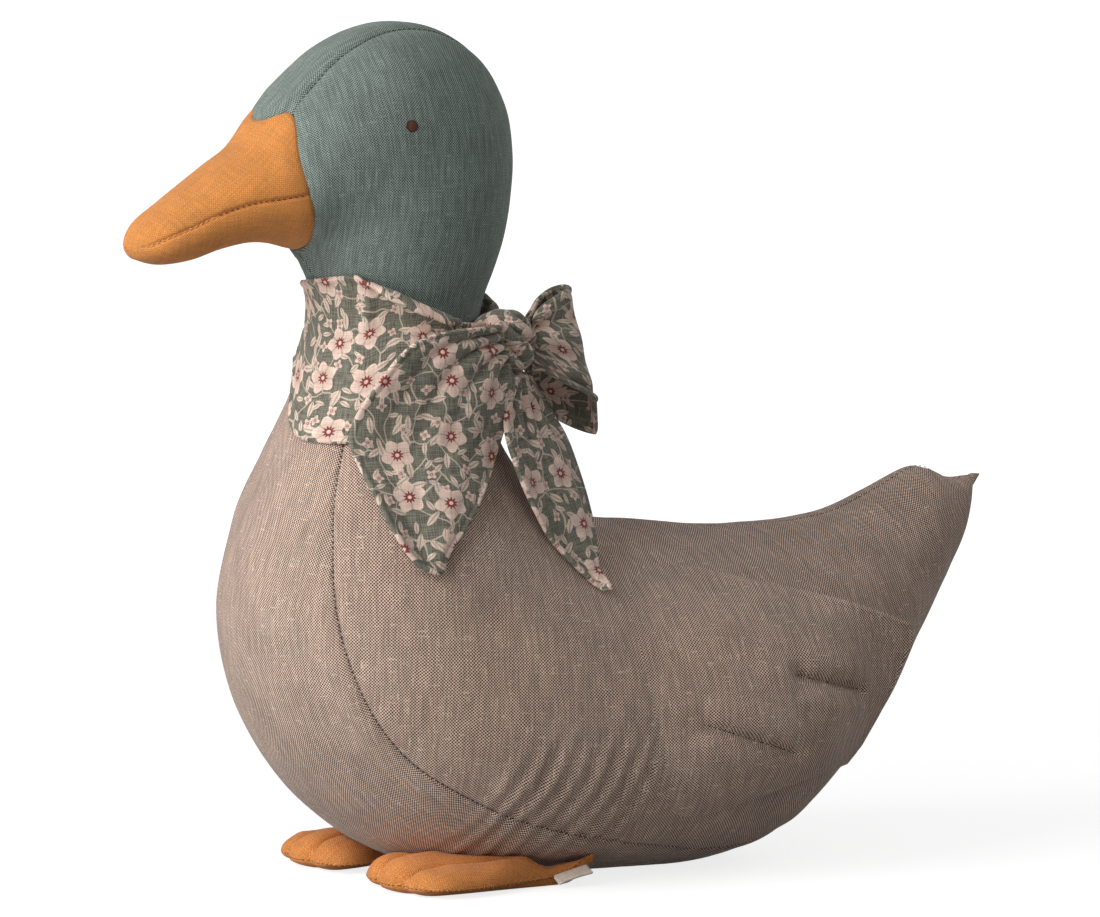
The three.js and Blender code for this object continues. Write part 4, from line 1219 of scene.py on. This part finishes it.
# Scarf. Places round the neck are an angle from +X towards +Y, a radius and a height.
KNOT_ANGLE = math.radians(45)
BAND_START = KNOT_ANGLE - math.radians(3)
BAND_END = BAND_START - FULL + math.radians(6)
band_top_shares = [
    0.053, 0.06, 0.213, 0.373, 0.347, 0.313, 0.287, 0.267, 0.253, 0.24, 0.24, 0.227, 0.2, 0.133, 0.067,
]
band_low_shares = [
    -0.213, -0.32, -0.507, -0.64, -0.68, -0.62, -0.27, -0.26, -0.28, -0.307, -0.32, -0.32, -0.307, -0.28,
    -0.213,
]
band_stand_off_shares = [1, 1.05, 0.75, 0.3, 0.12, 0.05, 0.05, 0.05, 0.05, 0.05, 0.05, 0.1, 0.3, 0.7, 1]
neck_reaches = reach_round_neck((body_tree, head_tree), (-0.8, 0.8))
# A hem thickens the edge of the cloth over this width
HEM_WIDTH = 3.0
# A kind of cloth: its material, the name of its slot, its thickness and how much a hem adds to it
Cloth = namedtuple("Cloth", "material slot thickness hem")
scarf_cloth = Cloth(scarf_cotton, "scarf_cotton", SCARF_CLOTH, 0.6)


def round_neck(angle, radius, z):
    return stacked(radius * np.cos(angle), NECK_Y + radius * np.sin(angle), z)


def cloth(name, middle, kind, uv, body_name):
    """A sheet of cloth with rounded edges, on both sides of its middle surface, for the CAD node it names."""
    normals = unit(np.cross(np.gradient(middle, axis=0), np.gradient(middle, axis=1)))
    across, along = run_length(middle, 1), run_length(middle, 0)
    side, end = np.minimum(across, across[:, -1:] - across), np.minimum(along, along[-1:] - along)
    t = np.clip(np.minimum(side, end) / kind.thickness, 0, 1)
    # The hem is thicker, with a groove behind it
    hem = kind.hem * bell(side - HEM_WIDTH / 2, HEM_WIDTH / 2)
    hem = hem - 0.5 * kind.hem * bell(side - 1.35 * HEM_WIDTH, 0.8)
    half = ((kind.thickness / 2 + hem) * np.sqrt(np.maximum(1 - (1 - t) ** 2, 0.01)))[..., None]
    piece = slab(name, middle + normals * half, middle - normals * half, uv, kind.material)
    dress(piece, body_name, kind.slot, name)
    down, over = middle[1:, :-1] - middle[:-1, :-1], middle[:-1, 1:] - middle[:-1, :-1]
    return piece


# Folds along the band: how many lie across it, how many more beside the knot, and how high they are there
BAND_FOLDS, KNOT_FOLDS, BAND_FOLD_HEIGHT, KNOT_FOLD_HEIGHT = 4, 3, 0.15, 1.9
# Beside the knot the band's top edge is rolled outward over a hollow
ROLL_START, ROLL_RADIUS, ROLL_TURN = 0.88, 3.0, math.radians(215)
# The upright fold in front of that: its ridge and groove along the band
UPRIGHT_FOLD = ((1.9, 0.232, 0.012), (-1.2, 0.256, 0.01))


def neck_band():
    u, v = places((420, 60), (AT_HEMS, AT_HEMS))
    angle = mix(BAND_START, BAND_END, u)
    top, low = (NECK_HEIGHT + spline(shares, u) * RIBBON for shares in (band_top_shares, band_low_shares))
    z = mix(low, top, v)
    stand_off = np.maximum(spline(band_stand_off_shares, u), 0) * KNOT_STAND_OFF
    near_knot = np.maximum(1 - ease(u, 0, 0.16), ease(u, 0.86, 1))
    # Folds run round the neck and draw together at the knot
    lane = v * (BAND_FOLDS + KNOT_FOLDS * near_knot) + 1.2 * noise(stacked(u * 14, v, 0 * u), 1, 51)
    folds = np.sin(FULL * lane / 2) * mix(BAND_FOLD_HEIGHT, KNOT_FOLD_HEIGHT, near_knot ** 2)
    pleat = ridges(u - 0.03 * (1 - v), UPRIGHT_FOLD) * ease(v, 0.4, 0.8)
    slack = 0.8 * noise(stacked(angle * 40, z * 0.6, 0 * z), 18, 52)
    beside_knot = ease(u, 0.06, 0.12) * (1 - ease(u, 0.19, 0.27))
    roll = ROLL_TURN * np.clip((v - ROLL_START) / (1 - ROLL_START), 0, 1)
    z_rolled = mix(low, top, ROLL_START) + ROLL_RADIUS * np.sin(roll)
    z = np.where(v > ROLL_START, mix(z, z_rolled, beside_knot), z)
    hollow = 2.2 * ease(v, 0.7, 0.9) - 3.2 * bell(0.72 - v, 0.1)
    rolled = beside_knot * (ROLL_RADIUS * (1 - np.cos(roll)) + hollow)
    rolled += 0.5 * bell(1 - v, 0.12) * (1 - beside_knot)
    reach = neck_reaches(angle, z)
    radius = reach + SCARF_CLEARANCE + 0.5 + stand_off + folds + pleat + slack + rolled
    middle = round_neck(angle, np.maximum(radius, reach + 1.0), z)
    across = run_length(middle, 1)
    uv = np.stack([middle_run(middle), across - across[:, -1:] / 2], -1)
    name = "scarf_neck_band"
    return cloth(name, middle, scarf_cloth, uv, "body")


band = neck_band()

knot_centre = cad_middle("bow_knot")
KNOT_Z = NECK_HEIGHT - KNOT_STAND_OFF
knot_radius = math.hypot(knot_centre[0], knot_centre[1] - NECK_Y)


def ways(heading):
    """The level direction that heads this way round from +X, and the one to its left."""
    c, s = math.cos(heading), math.sin(heading)
    return np.array([c, s, 0]), np.array([-s, c, 0])


# The soft knot is fuller than the CAD's by these shares outward, along and upward, and sits closer
KNOT_FULLNESS, KNOT_IN, KNOT_BACK, KNOT_DOWN = (1.4, 1.24, 1.16), 4.0, 2.0, 1.0
# Its pleats: how many lie round it, how they slant, how far they stand out and how low their grooves are
KNOT_PLEATS, KNOT_SLANT, PLEAT_HEIGHT, PLEAT_GROOVE = 3, 1.3, 0.44, 0.32


def knot():
    """The scarf wrapped once over its own gathers: a swollen band with slanting pleats."""
    tip, turn = pole_to_pole(110, math.radians(6)), around(170)
    slant = turn - KNOT_SLANT * (tip - math.pi / 2) + 0.12 * np.sin(2 * tip)
    ridge = np.abs(np.sin(KNOT_PLEATS * slant)) ** 0.55
    level = np.sin(tip) ** 0.7 * (1.04 + np.sin(tip) * (PLEAT_HEIGHT * ridge - PLEAT_GROOVE))
    upright = np.cos(tip) + 0.04 * np.sin(3.5 * slant) * np.sin(tip)
    out, along = ways(KNOT_ANGLE)
    half_sizes = np.array([KNOT_THICKNESS, KNOT_WIDTH, KNOT_HEIGHT]) * KNOT_FULLNESS / 2
    centre = [*(knot_centre - KNOT_IN * out - KNOT_BACK * along)[:2], KNOT_Z - KNOT_DOWN]
    local = stacked(level * np.cos(turn), level * np.sin(turn), upright) * half_sizes
    rings = centre + local @ np.array([out, along, UP])
    rings = rings + 0.4 * noise(rings, 5, 61)[..., None] * unit(rings - centre)
    uv = stacked(turn * KNOT_WIDTH / 2 + 400, tip * KNOT_HEIGHT / 2)
    dress(tube("bow_knot", rings, uv, scarf_cotton), "body", "scarf_cotton", "bow_knot")


knot()

LOOP_HEADING, LOOP_TILT, LOOP_START = math.radians(105), math.radians(15), 12.4
# The loop's height at the knot as a share, how far its near side is drawn up, and its gathers there: how many
# lie across the ribbon and how high they are
GATHER, NEAR_DRAW, LOOP_GATHERS, GATHER_HEIGHT = 0.34, 0.42, 3.2, 2.8
# How wide the loop opens at its lower and upper edge, as shares
OPEN_LOW, OPEN_HIGH = 1.15, 0.5


def loop():
    u, v = places((200, 60), (0, AT_HEMS))
    out_way, across_way = ways(LOOP_HEADING)
    turn = mix(-math.pi, math.pi, u)
    out = (1 + np.cos(turn)) / 2
    opening = LOOP_OPENING / 2 * mix(OPEN_LOW, OPEN_HIGH, v)
    aside = opening * np.sin(turn) * out ** 0.35 + SCARF_CLOTH * np.sign(u - 0.5) * (1 - out)
    up = RIBBON / 2 * mix(GATHER, 1, out ** 0.55) * (2 * v - 1)
    # The near side is drawn up under the knot, so that the loop's hollow shows below it
    near = ease(u, 0.5, 0.56) * (1 - ease(u, 0.9, 1))
    up = up * (1 - NEAR_DRAW * near * ease(1 - v, 0.5, 1))
    level = mix(LOOP_START, LOOP_LENGTH, out)
    # Gathers fan out from the knot and die away towards the fold
    gathers = GATHER_HEIGHT * (1 - out) ** 0.6 * np.sin(FULL * LOOP_GATHERS * v + 2 * u) * ease(out, 0, 0.05)
    aside = aside + gathers + 0.8 * noise(stacked(u * 60, v * 40, 0 * u), 20, 71) * out
    along = level * math.cos(LOOP_TILT) - up * math.sin(LOOP_TILT) * out
    lift = up * math.cos(LOOP_TILT) - level * math.sin(LOOP_TILT)
    local = np.stack([along, -aside, lift], -1)
    middle = [*knot_centre[:2], KNOT_Z] + local @ np.array([out_way, across_way, UP])
    uv = np.stack([run_length(middle, 0) + 200, mix(0, RIBBON, v)], -1)
    cloth("bow_loop", middle, scarf_cloth, uv, "bow_loop")


loop()

# The tails: each edge runs from the knot to the tip, in degrees round the neck and shares of the drop
front_edge_shares = [
    [[0, -0.1], [-46, -0.06], [-66, 0.16], [-76, 0.4], [-66, 0.65], [-54, 0.93], [-46, 1]],
    [[0, 0.1], [0, 0.18], [-2, 0.27], [-10, 0.49], [-26, 0.7], [-40, 0.9], [-44, 1]],
]
rear_edge_shares = [
    [[-7, 0], [-20, 0.2], [-21, 0.43], [-16, 0.66], [-9, 0.86], [-4, 1]],
    [[7, 0], [13, 0.2], [13, 0.43], [9, 0.66], [2, 0.86], [-2.5, 1]],
]
# How far each tail hangs from the neck's axis, as shares of the knot's distance from it
front_free_shares = [0.97, 1.06, 1.06, 1.05, 1.04, 1.01, 1]
rear_free_shares = [0.97, 1.12, 1.3, 1.45, 1.57, 1.68]
# The creases that fan out from the knot over a tail, and how high and long the gathers between them are
TAIL_CREASES = ((0.8, 0.2, 0.05), (1.0, 0.4, 0.05), (0.9, 0.6, 0.05), (1.0, 0.8, 0.05))
TAIL_GATHER_HEIGHT, TAIL_GATHER_LENGTH = 6.5, 0.24
# How far a tail's middle stands off the bare body, what lies on it, and then off both once it is softened
OFF_BODY, OFF_DRESSING, OFF_BOTH, TAIL_SOFTNESS = 2, 2.2, 2.2, 26

band_points = [v.co / MM - Vector((0, shift_y, 0)) for v in band.data.vertices]
band_tree = BVHTree.FromPolygons(band_points, [list(p.vertices) for p in band.data.polygons])
dressed_reaches = reach_round_neck((band_tree, ray_tree(left_wing)), (-4, 0, 4))


def tail(name, angle, z, drop, edges, free_shares, curl, tilt, print_place):
    """One tail of the scarf: where it leaves the knot, its two edges, and how it stands off the body."""
    u, v = places((160, 90), (AT_HEMS, AT_HEMS))
    (turn_0, drop_0), (turn_1, drop_1) = ([spline(np.array(edge)[:, k], u) for k in (0, 1)] for edge in edges)
    turn = mix(turn_0, turn_1, v)
    angle = angle + np.radians(turn)
    z = z - mix(drop_0, drop_1, v) * drop
    free = spline(free_shares, u) * knot_radius + tilt * (2 * v - 1) * ease(u, 0, 0.35)
    held_off = np.maximum(neck_reaches(angle, z) + OFF_BODY, dressed_reaches(angle, z) + OFF_DRESSING)
    radius = soften(np.maximum(free, held_off), TAIL_SOFTNESS) + OFF_BOTH
    gathers = TAIL_GATHER_HEIGHT * (0.8 - ridges(v, TAIL_CREASES)) * np.exp(-u / TAIL_GATHER_LENGTH)
    gathers = gathers * ease(u, 0, 0.04) * mix(1, 0.5, ease(v, 0.8, 1))
    waves = 1.3 * np.cos(FULL * (1.1 * v + 0.35 * u)) * ease(u, 0.1, 0.4)
    curled = curl * bell(v, 0.16) * ease(u, 0.12, 0.35)
    slack = 0.5 * noise(stacked(u * drop, v * 60, 0 * u), 16, 81)
    middle = round_neck(angle, radius + gathers + waves + curled + slack, z)
    uv = flat_pattern(middle, np.stack([turn, z], -1)) + print_place
    cloth(name, middle, scarf_cloth, uv, name)


knot_half_angle = math.atan2(KNOT_WIDTH / 2 + 0.4, knot_radius)
tail(
    "bow_tail_front", KNOT_ANGLE - knot_half_angle, KNOT_Z, FRONT_DROP, front_edge_shares,
    front_free_shares, curl=4.5, tilt=0.0, print_place=(70, 300),
)
tail(
    "bow_tail_rear", KNOT_ANGLE, KNOT_Z - KNOT_HEIGHT / 2 - 0.4, REAR_DROP, rear_edge_shares,
    rear_free_shares, curl=1.0, tilt=7.0, print_place=(500, 640),
)


# Label: a folded tape, bare
def label():
    """Two plies of tape with a soft fold, sloping from the seam down to the floor."""
    back, front = (np.array([*foot_plan(np.array(u), np.array(1.0)), 0]) for u in (0.05, 0.24))
    out_way, along_way = ways(math.atan2(front[0] - back[0], back[1] - front[1]))
    seam_z, fold_z, half_ply, reach, length, clear, tilt = 7.0, 4.6, 0.5, 7.0, 17.0, 0.7, 4.4
    flat_rows, bend_rows, columns = 24, 16, 40
    run = np.linspace(0, 1, flat_rows)
    bend = np.linspace(-math.pi / 2, math.pi / 2, bend_rows)[1:-1]
    away = np.concatenate([run * reach, reach + half_ply * np.cos(bend), run[::-1] * reach])
    lift = half_ply * np.concatenate([-np.ones(flat_rows), np.sin(bend), np.ones(flat_rows)])
    v = np.linspace(-0.5, 0.5, columns)[None, :] + np.zeros((len(away), 1))
    away, lift = away[:, None] + 0 * v, lift[:, None] + 0 * v
    bow = 0.5 * np.sin(math.pi * (v + 0.5)) * away / reach
    lift = mix(seam_z, fold_z, ease(away / reach, -0.15, 1.0)) + lift + bow + tilt * v
    local = np.stack([away + clear, length * v, lift], -1)
    middle = (back + front) / 2 + local @ np.array([out_way, along_way, UP])
    uv = np.stack([run_length(middle, 0), length * v], -1)
    cloth("label_tape", middle, Cloth(tape, "label_tape", 0.5, 0), uv, "label")


label()


# Studio: floor, lights, world and camera
TARGET = Vector((0, -0.005, 0.1946))
FLOOR_HALF, FLOOR_Z = 12.0, -0.0003
AMBIENT = 0.1
# Each lamp: its azimuth and elevation in degrees, its distance and size in metres, and its power in watts
LAMPS = {"key": (8, 24, 1.75, 1.5, 32), "fill": (72, 30, 2.4, 1.6, 6.2), "back": (185, 30, 2.2, 1.4, 8)}
FOCAL_PIXELS, PHOTO_WIDTH = 8400, 1100


def aim(name, data, azimuth, elevation, distance):
    """A lamp or camera that looks at the target from this direction and distance."""
    obj = bpy.data.objects.new(name, data)
    a, e = math.radians(azimuth), math.radians(elevation)
    way = Vector((math.sin(a) * math.cos(e), -math.cos(a) * math.cos(e), math.sin(e)))
    obj.location = TARGET + way * distance
    obj.rotation_euler = way.to_track_quat("Z", "Y").to_euler()
    bpy.context.scene.collection.objects.link(obj)
    return obj


def studio():
    mesh = bpy.data.meshes.new("floor")
    corners = [(x * FLOOR_HALF, y * FLOOR_HALF, 0) for x, y in ((-1, -1), (1, -1), (1, 1), (-1, 1))]
    mesh.from_pydata(corners, [], [(0, 1, 2, 3)])
    floor = bpy.data.objects.new("floor", mesh)
    floor.location.z = FLOOR_Z
    bpy.context.scene.collection.objects.link(floor)
    # The floor shows white, and a little darker where the duck takes the light from it
    shader = Shader("floor", roughness=0.9, sheen=0.0)
    shader.put(shader.surface["Base Color"], (0.38, 0.38, 0.38))
    shader.put(shader.surface["Emission Color"], (1.0, 1.0, 1.0))
    place = shader.node("ShaderNodeNewGeometry", {}, "Position")
    glow = shader.step(shader.vector("LENGTH", place), 0.35, 2.2, 0.8, 1.0)
    shader.put(shader.surface["Emission Strength"], shader.seen() * glow)
    mesh.materials.append(shader.material)

    world = bpy.data.worlds.new("studio")
    bpy.context.scene.world = world
    world.use_nodes = True
    tree = Tree(world.node_tree)
    strength = tree.node("ShaderNodeMapRange", {"Value": tree.seen(), "To Min": AMBIENT, "To Max": 1.0})
    background = world.node_tree.nodes["Background"].inputs
    tree.put(background["Color"], (1, 1, 1))
    tree.put(background["Strength"], strength)

    for name, (azimuth, elevation, distance, size, power) in LAMPS.items():
        lamp = bpy.data.lights.new(name, "AREA")
        lamp.energy, lamp.size = power, size
        aim(name, lamp, azimuth, elevation, distance)
    camera = bpy.data.cameras.new("camera")
    camera.sensor_fit, camera.sensor_width = "HORIZONTAL", 36
    camera.lens = FOCAL_PIXELS / PHOTO_WIDTH * camera.sensor_width
    camera.clip_end = 100
    bpy.context.scene.camera = aim("camera", camera, 63, 6, 4.0)
    bpy.context.scene.view_settings.view_transform = "Standard"


studio()
